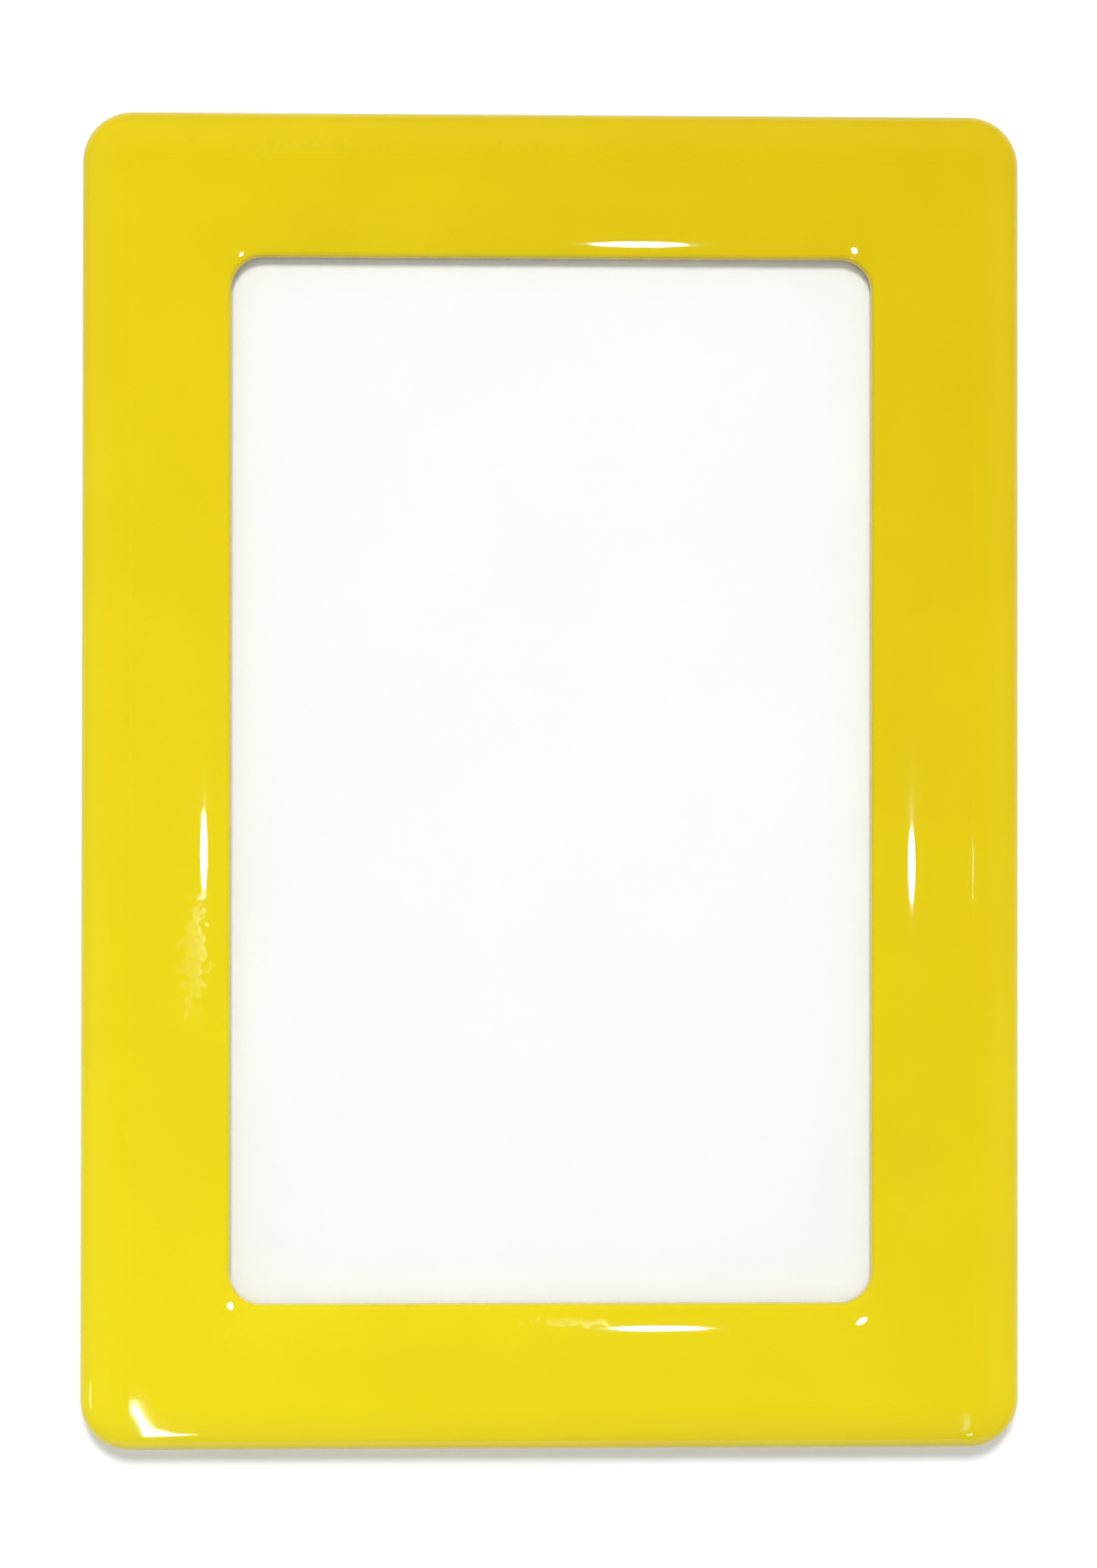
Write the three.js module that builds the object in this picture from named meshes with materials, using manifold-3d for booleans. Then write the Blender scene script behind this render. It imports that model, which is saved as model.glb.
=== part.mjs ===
// A magnetic display frame: a glossy moulded border round a clear window, holding one 10 x 15 cm card.
// It hangs upright on a steel door or board by the magnet strips on its back.
// The card slides in and out through a slot in the top edge.
// Millimetres. X points to the viewer's right, Z points up, and the front faces -Y.
// The origin is the middle of the plane where the magnets meet the steel.
// A depth is a distance from that plane towards the viewer, so a depth of d lies at y = -d.

import * as THREE from "three";
import { mergeVertices } from "three/addons/utils/BufferGeometryUtils.js";
import Module from "manifold-3d";

const wasm = await Module();
wasm.setup();

// The card, a standard print, and the channel that it slides in
const cardWidth = 101.6;
const cardHeight = 152.4;
const cardThickness = 0.3;
const cardFaceClearance = 0.3; // in front of the card and behind it
const cardSideClearance = 0.6;
const cardOverlap = 10.5; // how far the border covers the card, on all four sides

// The bezel: the border with its rolled edges and its outer wall
const frameCornerRadius = 6.3;
const windowCornerRadius = 4;
const outerRollWidth = 5.9;
const outerRollHeight = 2.6;
const innerRollWidth = 7.4;
const innerRollSlope = THREE.MathUtils.degToRad(10.5); // where the roll meets the lip
const lipRadius = 0.8;
const lipLand = 0.8; // straight wall of the window, between the pane and the lip's rounding
const ledgeWidth = 3; // strip behind the window's edge that the pane rests against
const shellWall = 1.5;
const rimSetback = 0.4; // how far the outer wall stops short of the steel
const rimChamfer = 0.3;

// The pane
const paneThickness = 0.8;
const paneCornerRadius = 1.5;
const paneRibWidth = 0.8; // rib on the bezel that goes round the pane
const paneRibClearance = 0.4;

// The back panel
const panelThickness = 1.2;
const fitClearance = 0.3; // between moulded parts that fit into each other
const railWidth = 1; // rail on each side of the card
const railEndSetback = 0.6; // how far the rails stop short of the panel's top edge
const stopHeight = 1.2; // rail that the card stands on
const tongueSetback = 0.2; // how far the tongue stays below the frame's top edge
const tongueRibThickness = 1.6;
const thumbNotchWidth = 22;
const thumbNotchReach = 10.2; // how much of the card's back it lays bare
const thumbNotchCornerRadius = 8;
const stiffenerThickness = 0.8;
const stiffenerHeight = 0.6;
const stiffenerColumns = 2;
const stiffenerRows = 3;
const stiffenerMargin = 4; // from the magnet beds to the ends of the stiffeners

// The pins that hold the panel: moulded on the bezel, with ends formed over behind the panel
const pinRadius = 1;
const bossRadius = 1.8;
const pinHeadRadius = 1.9;
const pinHeadCrownRadius = 1.2;
const pinHeadHeight = 0.8;
const pinWallClearance = 0.6; // from a pin's head to the outer wall
const pinRailClearance = 0.7; // from a pin's head to the card's rails
const pinBedClearance = 0.4; // from a pin's head to a magnet bed
const sidePinCount = 4;
const sidePinEndInset = 15; // from the frame's top and bottom to the last side pins
const bottomPinCount = 3;
const bottomPinEndInset = 23; // from the frame's sides to the last bottom pins

// The magnet strips and the tape under them
const magnetThickness = 1.5;
const magnetWidth = 10;
const endStripInset = 15; // from the frame's sides to the ends of the top and bottom strips
const bedWallThickness = 0.8;
const bedWallHeight = 0.9;
const bedSpacing = 4.4; // between the side beds and the beds above and below them
const bedNotchSpacing = 2.4; // between the thumb notch and the top beds
const tapeThickness = 0.15;
const tapeMargin = 0.3; // how far the tape stays inside its strip's outline

// How finely round shapes are divided
const cornerSteps = 9;
const rollSteps = 8;
const lipSteps = 4;
const roundSides = 18;
const smallestRadius = 0.3; // at a mitred corner
const joinDepth = 0.4; // how far joined features reach into each other

// The layers, by depth
const panelBack = magnetThickness + tapeThickness;
const panelFront = panelBack + panelThickness;
const cardBack = panelFront + cardFaceClearance;
const cardFront = cardBack + cardThickness;
const paneBack = cardFront + cardFaceClearance;
const paneFront = paneBack + paneThickness;
const lipBase = paneFront + lipLand;
const lipEnd = lipRadius * (1 - Math.sin(innerRollSlope)); // where the inner roll takes over, from the window
const innerRollDrop = (innerRollWidth - lipEnd) * Math.tan(innerRollSlope / 2);
const plateau = lipBase + lipRadius * Math.cos(innerRollSlope) + innerRollDrop;
const shellUnderside = plateau - shellWall;
const rollBase = plateau - outerRollHeight;

// The window, as seen from the front
const windowHalfWidth = cardWidth / 2 - cardOverlap;
const windowHalfHeight = cardHeight / 2 - cardOverlap;

// What lies outside the card, from the card outwards: rails or stop, pins and outer wall
const channelHalfWidth = cardWidth / 2 + cardSideClearance;
const railHalfWidth = channelHalfWidth + railWidth;
const cardBottom = -cardHeight / 2;
const stopBottom = cardBottom - stopHeight;
const pinInset = shellWall + pinWallClearance + pinHeadRadius; // from the frame's edge to a pin's middle
const pinZone = pinRailClearance + pinHeadRadius + pinInset;
const frameHalfWidth = railHalfWidth + pinZone;
const frameHalfHeight = pinZone - stopBottom;

// What fits into the bezel
const paneHalfWidth = railHalfWidth + fitClearance;
const paneHalfHeight = fitClearance - stopBottom;
const panelInset = shellWall + fitClearance;
const panelHalfHeight = frameHalfHeight - panelInset;

// The magnet beds, which start inside the pins' heads
const bedMargin = fitClearance + bedWallThickness; // from a strip's edge to its bed's outer edge
const stripInset = pinInset + pinHeadRadius + pinBedClearance + bedMargin + magnetWidth / 2;
const sideStripMiddle = frameHalfWidth - stripInset;
const endStripMiddle = frameHalfHeight - stripInset;
const endStripEnd = frameHalfWidth - endStripInset;
const topStripStart = thumbNotchWidth / 2 + bedNotchSpacing + bedMargin;
const endBedInnerEdge = endStripMiddle - magnetWidth / 2 - bedMargin;
const sideBedInnerEdge = sideStripMiddle - magnetWidth / 2 - bedMargin;
const sideStripHalfLength = endBedInnerEdge - bedSpacing - bedMargin;

// Finishes
const glossYellow = { color: 0xecd81f, roughness: 0.18, metalness: 0 };
const clearSheet = { color: 0xf4f7f7, roughness: 0.05, metalness: 0, transparent: true, opacity: 0.25 };
const whiteCard = { color: 0xfbfbf8, roughness: 0.7, metalness: 0 };
const greyMoulding = { color: 0xc9cac6, roughness: 0.55, metalness: 0 };
const ferriteStrip = { color: 0x3a3431, roughness: 0.75, metalness: 0 };
const whiteTape = { color: 0xe9e7df, roughness: 0.6, metalness: 0 };

// Points round a rectangle with rounded corners, anticlockwise for a viewer in front.
function roundedOutline(halfWidth, halfHeight, radius) {
  const points = [];
  for (let corner = 0; corner < 4; corner += 1) {
    const towardsX = corner === 0 || corner === 3 ? 1 : -1;
    const towardsZ = corner < 2 ? 1 : -1;
    const centreX = towardsX * (halfWidth - radius);
    const centreZ = towardsZ * (halfHeight - radius);
    for (let step = 0; step <= cornerSteps; step += 1) {
      const angle = (Math.PI / 2) * (corner + step / cornerSteps);
      points.push(new THREE.Vector2(centreX + radius * Math.cos(angle), centreZ + radius * Math.sin(angle)));
    }
  }
  return points;
}

// The frame's outline, moved inwards by an inset.
function insideFrame(inset) {
  const radius = Math.max(frameCornerRadius - inset, smallestRadius);
  return roundedOutline(frameHalfWidth - inset, frameHalfHeight - inset, radius);
}

// The window's outline, moved outwards by an offset.
function roundWindow(offset) {
  return roundedOutline(windowHalfWidth + offset, windowHalfHeight + offset, windowCornerRadius + offset);
}

// The pane's outline, moved outwards by an offset.
function roundPane(offset) {
  return roundedOutline(paneHalfWidth + offset, paneHalfHeight + offset, paneCornerRadius + offset);
}

// A closed ring through a list of loops, each an outline at a depth. The last loop joins the first.
function ringThrough(loops) {
  const count = loops[0].outline.length;
  const positions = [];
  for (const { outline, depth } of loops) {
    for (const point of outline) {
      positions.push(point.x, -depth, point.y);
    }
  }
  const faces = [];
  for (let loop = 0; loop < loops.length; loop += 1) {
    const here = loop * count;
    const next = ((loop + 1) % loops.length) * count;
    for (let side = 0; side < count; side += 1) {
      const other = (side + 1) % count;
      faces.push(here + side, here + other, next + side);
      faces.push(here + other, next + other, next + side);
    }
  }
  const geometry = new THREE.BufferGeometry();
  geometry.setAttribute("position", new THREE.Float32BufferAttribute(positions, 3));
  geometry.setIndex(faces);
  return geometry;
}

// A flat plate with the given outline and holes, between two depths.
function plate(outline, backDepth, frontDepth, holes = []) {
  const shape = new THREE.Shape(outline);
  shape.holes = holes.map((hole) => new THREE.Path(hole));
  const geometry = new THREE.ExtrudeGeometry(shape, { depth: frontDepth - backDepth, bevelEnabled: false });
  geometry.translate(0, 0, backDepth);
  geometry.rotateX(Math.PI / 2);
  return geometry;
}

// A block between two corners in X and Z, and between two depths.
function block(left, right, bottom, top, backDepth, frontDepth) {
  const geometry = new THREE.BoxGeometry(right - left, frontDepth - backDepth, top - bottom);
  geometry.translate((left + right) / 2, -(backDepth + frontDepth) / 2, (bottom + top) / 2);
  return geometry;
}

// A round post at a place, between two depths. Its back end may have another radius.
function post(place, radius, backDepth, frontDepth, backRadius = radius) {
  const geometry = new THREE.CylinderGeometry(backRadius, radius, frontDepth - backDepth, roundSides);
  geometry.translate(place.x, -(backDepth + frontDepth) / 2, place.y);
  return geometry;
}

// A geometry as a solid that can be joined and cut.
function solidOf(geometry) {
  const bare = geometry.clone();
  bare.deleteAttribute("normal");
  bare.deleteAttribute("uv");
  const merged = mergeVertices(bare);
  const vertProperties = new Float32Array(merged.getAttribute("position").array);
  const triVerts = new Uint32Array(merged.index.array);
  return new wasm.Manifold(new wasm.Mesh({ numProp: 3, vertProperties, triVerts }));
}

// A solid as a geometry again.
function geometryOf(solid) {
  const { vertProperties, triVerts } = solid.getMesh();
  const geometry = new THREE.BufferGeometry();
  geometry.setAttribute("position", new THREE.BufferAttribute(vertProperties, 3));
  geometry.setIndex(new THREE.BufferAttribute(triVerts, 1));
  geometry.computeVertexNormals();
  return geometry;
}

// One body made by joining some geometries and then cutting others away.
function joined(added, removed = []) {
  let solid = solidOf(added[0]);
  for (const geometry of added.slice(1)) {
    solid = solid.add(solidOf(geometry));
  }
  for (const geometry of removed) {
    solid = solid.subtract(solidOf(geometry));
  }
  return geometryOf(solid);
}

// A number of places spread evenly from -reach to reach.
function evenRow(count, reach) {
  return Array.from({ length: count }, (_, index) => reach * ((2 * index) / (count - 1) - 1));
}

// Where the pins stand, in X and Z.
function pinPlaces() {
  const places = [];
  for (const height of evenRow(sidePinCount, frameHalfHeight - sidePinEndInset)) {
    for (const side of [-1, 1]) {
      places.push(new THREE.Vector2(side * (frameHalfWidth - pinInset), height));
    }
  }
  for (const across of evenRow(bottomPinCount, frameHalfWidth - bottomPinEndInset)) {
    places.push(new THREE.Vector2(across, pinInset - frameHalfHeight));
  }
  return places;
}

// The outer roll's section: an elliptic quarter from the outer wall up to the plateau, at an inset from the skin.
function outerRollLoops(inset) {
  const width = outerRollWidth - inset;
  const height = outerRollHeight - inset;
  const loops = [];
  for (let step = 0; step <= rollSteps; step += 1) {
    const angle = (Math.PI / 2) * (step / rollSteps);
    loops.push({
      outline: insideFrame(outerRollWidth - width * Math.cos(angle)),
      depth: rollBase + height * Math.sin(angle),
    });
  }
  return loops;
}

// The inner roll's section: a shallow arc from the plateau down to the lip.
function innerRollLoops() {
  const arcRadius = (innerRollWidth - lipEnd) / Math.sin(innerRollSlope);
  const loops = [];
  for (let step = 0; step < rollSteps; step += 1) {
    const slope = innerRollSlope * (step / rollSteps);
    loops.push({
      outline: roundWindow(innerRollWidth - arcRadius * Math.sin(slope)),
      depth: plateau - arcRadius * (1 - Math.cos(slope)),
    });
  }
  return loops;
}

// The rounding of the window's edge, from the inner roll down to the window's straight wall.
function lipLoops() {
  const fullTurn = Math.PI / 2 - innerRollSlope;
  const loops = [];
  for (let step = 0; step <= lipSteps; step += 1) {
    const angle = fullTurn * (1 - step / lipSteps);
    loops.push({
      outline: roundWindow(lipRadius * (1 - Math.cos(angle))),
      depth: lipBase + lipRadius * Math.sin(angle),
    });
  }
  return loops;
}

// The bezel's hollow shell: outer wall, outer roll, plateau, inner roll, window wall, ledge and inner skin.
function bezelShell() {
  return ringThrough([
    { outline: insideFrame(rimChamfer), depth: rimSetback },
    { outline: insideFrame(0), depth: rimSetback + rimChamfer },
    ...outerRollLoops(0),
    ...innerRollLoops(),
    ...lipLoops(),
    { outline: roundWindow(0), depth: paneFront },
    { outline: roundWindow(ledgeWidth), depth: paneFront },
    { outline: roundWindow(ledgeWidth), depth: shellUnderside },
    ...outerRollLoops(shellWall).reverse(),
    { outline: insideFrame(shellWall), depth: rimSetback },
  ]);
}

// The rib inside the bezel that keeps the pane from shifting.
function paneRib() {
  const back = paneBack + fitClearance;
  const front = shellUnderside + joinDepth;
  const inner = roundPane(paneRibClearance);
  const outer = roundPane(paneRibClearance + paneRibWidth);
  return plate(outer, back, front, [inner]);
}

// A boss that carries the panel's front face, the pin that goes through it, and the pin's formed end.
function pinFeatures(place) {
  const headBack = panelBack - pinHeadHeight;
  return [
    post(place, bossRadius, panelFront, shellUnderside + joinDepth),
    post(place, pinRadius, panelBack - joinDepth, panelFront + joinDepth),
    post(place, pinHeadRadius, headBack, panelBack, pinHeadCrownRadius),
  ];
}

// The way through the bezel's top wall. The panel's tongue fills its rear part, and the card uses the rest.
function topGap() {
  const inside = frameHalfHeight - shellWall - joinDepth;
  const outside = frameHalfHeight + joinDepth;
  return block(-channelHalfWidth, channelHalfWidth, inside, outside, 0, paneBack);
}

function frontBezel() {
  const added = [bezelShell(), paneRib(), ...pinPlaces().flatMap(pinFeatures)];
  return joined(added, [topGap()]);
}

function windowPane() {
  return plate(roundPane(0), paneBack, paneFront);
}

function displayCard() {
  return block(-cardWidth / 2, cardWidth / 2, cardBottom, cardBottom + cardHeight, cardBack, cardFront);
}

// The magnet strips' middles and sizes, in X and Z. The two top strips leave room for the thumb notch.
function magnetStrips() {
  const topMiddle = (topStripStart + endStripEnd) / 2;
  const topLength = endStripEnd - topStripStart;
  const sideLength = 2 * sideStripHalfLength;
  return [
    { name: "left", x: -sideStripMiddle, z: 0, width: magnetWidth, height: sideLength },
    { name: "right", x: sideStripMiddle, z: 0, width: magnetWidth, height: sideLength },
    { name: "bottom", x: 0, z: -endStripMiddle, width: 2 * endStripEnd, height: magnetWidth },
    { name: "top_left", x: -topMiddle, z: endStripMiddle, width: topLength, height: magnetWidth },
    { name: "top_right", x: topMiddle, z: endStripMiddle, width: topLength, height: magnetWidth },
  ];
}

// A block round a strip's middle, larger or smaller than the strip by a margin.
function stripBlock(strip, margin, backDepth, frontDepth) {
  const halfWidth = strip.width / 2 + margin;
  const halfHeight = strip.height / 2 + margin;
  const { x, z } = strip;
  return block(x - halfWidth, x + halfWidth, z - halfHeight, z + halfHeight, backDepth, frontDepth);
}

// The low wall round a magnet strip's bed.
function bedWall(strip) {
  const back = panelBack - bedWallHeight;
  const outer = stripBlock(strip, bedMargin, back, panelBack + joinDepth);
  const inner = stripBlock(strip, fitClearance, back - joinDepth, panelBack);
  return joined([outer], [inner]);
}

// Low crossed ribs that stiffen the panel's middle, inside the magnet beds.
function stiffeners() {
  const back = panelBack - stiffenerHeight;
  const front = panelBack + joinDepth;
  const halfThickness = stiffenerThickness / 2;
  const halfWidth = sideBedInnerEdge - stiffenerMargin;
  const halfHeight = endBedInnerEdge - stiffenerMargin;
  const columnReach = (halfWidth * (stiffenerColumns - 1)) / (stiffenerColumns + 1);
  const rowReach = (halfHeight * (stiffenerRows - 1)) / (stiffenerRows + 1);
  const columns = evenRow(stiffenerColumns, columnReach).map((x) =>
    block(x - halfThickness, x + halfThickness, -halfHeight, halfHeight, back, front),
  );
  const rows = evenRow(stiffenerRows, rowReach).map((z) =>
    block(-halfWidth, halfWidth, z - halfThickness, z + halfThickness, back, front),
  );
  return [...columns, ...rows];
}

// The rails on the panel's front: one each side of the card, and the stop that it stands on.
function cardRails() {
  const back = panelFront - joinDepth;
  const top = panelHalfHeight - railEndSetback;
  return [
    block(-railHalfWidth, -channelHalfWidth, stopBottom, top, back, paneBack),
    block(channelHalfWidth, railHalfWidth, stopBottom, top, back, paneBack),
    block(-railHalfWidth, railHalfWidth, stopBottom, cardBottom, back, paneBack),
  ];
}

// The tongue fills the bezel's top gap behind the card slot.
function tongue() {
  const halfWidth = channelHalfWidth - fitClearance;
  const top = frameHalfHeight - tongueSetback;
  const neckBottom = panelHalfHeight - joinDepth;
  const ribBottom = top - tongueRibThickness;
  return [
    block(-halfWidth, halfWidth, neckBottom, top, panelBack, panelFront),
    block(-halfWidth, halfWidth, ribBottom, top, rimSetback, panelFront),
  ];
}

// The thumb notch: open at the top, with two rounded corners at its floor.
function thumbNotch() {
  const halfWidth = thumbNotchWidth / 2;
  const radius = Math.min(thumbNotchCornerRadius, halfWidth - smallestRadius);
  const floor = cardBottom + cardHeight - thumbNotchReach;
  const aboveFrame = frameHalfHeight + joinDepth;
  const shape = new THREE.Shape();
  shape.moveTo(halfWidth, aboveFrame);
  shape.lineTo(-halfWidth, aboveFrame);
  shape.absarc(radius - halfWidth, floor + radius, radius, Math.PI, 1.5 * Math.PI);
  shape.absarc(halfWidth - radius, floor + radius, radius, 1.5 * Math.PI, 2 * Math.PI);
  const outline = shape.getPoints(cornerSteps);
  return plate(outline, 0, panelFront + joinDepth);
}

function pinHoles() {
  const radius = pinRadius + fitClearance;
  return pinPlaces().map((place) => post(place, radius, panelBack - joinDepth, panelFront + joinDepth));
}

function backPanel() {
  const panel = plate(insideFrame(panelInset), panelBack, panelFront);
  const beds = magnetStrips().map(bedWall);
  const added = [panel, ...tongue(), ...cardRails(), ...beds, ...stiffeners()];
  return joined(added, [thumbNotch(), ...pinHoles()]);
}

function namedMesh(name, geometry, finish) {
  const mesh = new THREE.Mesh(geometry, new THREE.MeshStandardMaterial(finish));
  mesh.name = name;
  return mesh;
}

const displayFrame = new THREE.Group();
displayFrame.add(namedMesh("front_bezel", frontBezel(), glossYellow));
displayFrame.add(namedMesh("window_pane", windowPane(), clearSheet));
displayFrame.add(namedMesh("display_card", displayCard(), whiteCard));
displayFrame.add(namedMesh("back_panel", backPanel(), greyMoulding));
for (const strip of magnetStrips()) {
  const magnet = stripBlock(strip, 0, 0, magnetThickness);
  const tape = stripBlock(strip, -tapeMargin, magnetThickness, panelBack);
  displayFrame.add(namedMesh(`magnet_${strip.name}`, magnet, ferriteStrip));
  displayFrame.add(namedMesh(`tape_${strip.name}`, tape, whiteTape));
}

export default displayFrame;
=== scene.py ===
"""A magnetic display frame: gloss yellow border, clear pane, white card, grey back and dark magnet strips.

Sizes are real ones in millimetres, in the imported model's own frame: X to the viewer's right, Z up, and the
front faces -Y. A depth is a distance from the magnets' back plane towards the viewer, so a depth of d lies at
y = -d. Meshes are made in metres.
"""

import logging
import math
from dataclasses import dataclass, field, replace
from enum import Enum
from typing import NamedTuple

import bmesh
import bpy
from mathutils import Matrix, Vector


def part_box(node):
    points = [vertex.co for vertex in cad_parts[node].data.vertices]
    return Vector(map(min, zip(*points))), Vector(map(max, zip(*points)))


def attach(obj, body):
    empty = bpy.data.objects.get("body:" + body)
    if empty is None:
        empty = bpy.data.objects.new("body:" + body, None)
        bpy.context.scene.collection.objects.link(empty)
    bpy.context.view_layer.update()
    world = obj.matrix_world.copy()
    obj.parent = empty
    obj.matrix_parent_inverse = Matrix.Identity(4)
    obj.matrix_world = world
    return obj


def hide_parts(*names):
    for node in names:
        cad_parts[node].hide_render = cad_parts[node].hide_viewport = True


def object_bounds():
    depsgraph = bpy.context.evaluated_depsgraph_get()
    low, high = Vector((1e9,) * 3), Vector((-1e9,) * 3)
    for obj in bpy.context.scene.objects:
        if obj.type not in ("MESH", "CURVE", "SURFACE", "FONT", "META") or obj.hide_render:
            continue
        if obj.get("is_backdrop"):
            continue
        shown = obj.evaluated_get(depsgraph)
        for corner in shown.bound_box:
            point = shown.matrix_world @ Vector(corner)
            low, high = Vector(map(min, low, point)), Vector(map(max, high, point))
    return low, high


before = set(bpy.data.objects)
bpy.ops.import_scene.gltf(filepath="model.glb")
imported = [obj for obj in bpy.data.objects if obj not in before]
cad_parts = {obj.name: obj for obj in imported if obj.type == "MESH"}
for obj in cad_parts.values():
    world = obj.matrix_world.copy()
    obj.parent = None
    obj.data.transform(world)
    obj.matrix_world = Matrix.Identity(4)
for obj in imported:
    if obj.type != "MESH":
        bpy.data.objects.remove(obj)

CAD_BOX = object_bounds()
MM = 0.001
LOG = logging.getLogger("display_frame")

Point = tuple[float, float, float]
Material = bpy.types.Material
Node = bpy.types.Node
Piece = bpy.types.Object
Socket = bpy.types.NodeSocket
Tree = bpy.types.NodeTree

MATH = "ShaderNodeMath"
VECTOR_MATH = "ShaderNodeVectorMath"
RANGE = "ShaderNodeMapRange"
MIX = "ShaderNodeMix"
NOISE = "ShaderNodeTexNoise"
CELLS = "ShaderNodeTexVoronoi"
BUMP = "ShaderNodeBump"


class Body(Enum):
    """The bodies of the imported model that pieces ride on."""

    SHELL = "frame_shell"
    CARD = "insert_card"


class Kind(Enum):
    """Socket types of the trees' named inputs."""

    NUMBER = "NodeSocketFloat"
    COUNT = "NodeSocketInt"


def linear(colour: str) -> tuple[float, float, float, float]:
    """Turns an sRGB colour into linear light.

    Args:
        colour: six hex digits, such as "ecd81f".

    Returns:
        Red, green, blue and an alpha of 1.
    """
    parts = (int(colour[i : i + 2], 16) / 255 for i in (0, 2, 4))
    red, green, blue = (c / 12.92 if c <= 0.04045 else ((c + 0.055) / 1.055) ** 2.4 for c in parts)
    return (red, green, blue, 1.0)


def add_node(tree: Tree, kind: str, inputs: dict | tuple = (), **settings: object) -> Node:
    """Adds a node with its settings, and sets or links its inputs.

    Args:
        tree: the tree that gets the node.
        kind: Blender's name for the node type.
        inputs: values, sockets or nodes, in the sockets' order or by their names or numbers. Of a node, the
            first output in use is linked.
        settings: the node's own properties.

    Returns:
        The new node.
    """
    node = tree.nodes.new(kind)
    for name, value in settings.items():
        setattr(node, name, value)
    named = inputs if isinstance(inputs, dict) else dict(enumerate(inputs))
    for key, value in named.items():
        if isinstance(value, Node):
            value = next(output for output in value.outputs if output.enabled)
        if isinstance(value, Socket):
            tree.links.new(value, node.inputs[key])
        else:
            node.inputs[key].default_value = value
    return node


def mesh_object(name: str, mesh: bpy.types.Mesh) -> Piece:
    """Puts a mesh into the scene as an object at the origin.

    Args:
        name: the object's name.
        mesh: the mesh.

    Returns:
        The object.
    """
    made = bpy.data.objects.new(name, mesh)
    bpy.context.scene.collection.objects.link(made)
    return made


def mesh_from(work: bmesh.types.BMesh, name: str) -> bpy.types.Mesh:
    """Turns what was built with bmesh into a mesh.

    Args:
        work: the finished work, which is freed.
        name: the mesh's name.

    Returns:
        The mesh.
    """
    mesh = bpy.data.meshes.new(name)
    work.to_mesh(mesh)
    work.free()
    return mesh


def bake(piece: Piece) -> None:
    """Turns a piece's modifiers into plain mesh and removes them.

    Args:
        piece: the object.
    """
    evaluated = piece.evaluated_get(bpy.context.evaluated_depsgraph_get())
    finished = bpy.data.meshes.new_from_object(evaluated)
    piece.modifiers.clear()
    piece.data = finished


def clean_mesh(mesh: bpy.types.Mesh, merge: float, flat_angle: float = 0.0) -> None:
    """Merges doubles, turns the faces outwards and shades them smooth.

    Args:
        mesh: the mesh.
        merge: distance under which vertices are one, in millimetres.
        flat_angle: faces that meet at less than this many degrees become one, unless it is 0.
    """
    work = bmesh.new()
    work.from_mesh(mesh)
    bmesh.ops.remove_doubles(work, verts=work.verts, dist=merge * MM)
    if flat_angle > 0:
        limit = math.radians(flat_angle)
        bmesh.ops.dissolve_limit(work, angle_limit=limit, verts=work.verts, edges=work.edges)
    bmesh.ops.recalc_face_normals(work, faces=work.faces)
    for face in work.faces:
        face.smooth = True
    work.to_mesh(mesh)
    work.free()


def finish_mesh(mesh: bpy.types.Mesh, merge: float, sharp_angle: float) -> None:
    """Cleans a mesh and keeps the edges sharp that turn by more than this many degrees."""
    clean_mesh(mesh, merge)
    mesh.set_sharp_from_angle(angle=math.radians(sharp_angle))


def cut_away(piece: Piece, cutter: Piece) -> None:
    """Gives a piece the modifier that cuts another one's shape out of it.

    Args:
        piece: the object that is cut.
        cutter: the shape that is taken away.
    """
    cut = piece.modifiers.new(cutter.name, "BOOLEAN")
    cut.operation = "DIFFERENCE"
    cut.solver = "EXACT"
    cut.object = cutter


def register(piece: Piece, body: Body, nodes: tuple[str, ...]) -> None:
    """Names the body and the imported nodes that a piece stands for.

    Args:
        piece: the finished object.
        body: the body that it moves with.
        nodes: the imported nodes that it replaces.
    """
    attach(piece, body.value)
    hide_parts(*nodes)
    LOG.info("%s: %d faces on %s, for %s", piece.name, len(piece.data.polygons), body.value, ", ".join(nodes))


def new_material(name: str) -> tuple[Material, Tree, Socket]:
    """Makes an empty node material.

    Args:
        name: the real material's common name.

    Returns:
        The material, its node tree, and the socket of a point's own coordinates.
    """
    material = bpy.data.materials.new(name)
    material.use_nodes = True
    tree = material.node_tree
    tree.nodes.clear()
    return material, tree, add_node(tree, "ShaderNodeTexCoord").outputs["Object"]


def per_mm(size: float) -> float:
    """Texture scale, per metre, of a pattern whose cells are this many millimetres wide."""
    return 1 / (size * MM)


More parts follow.
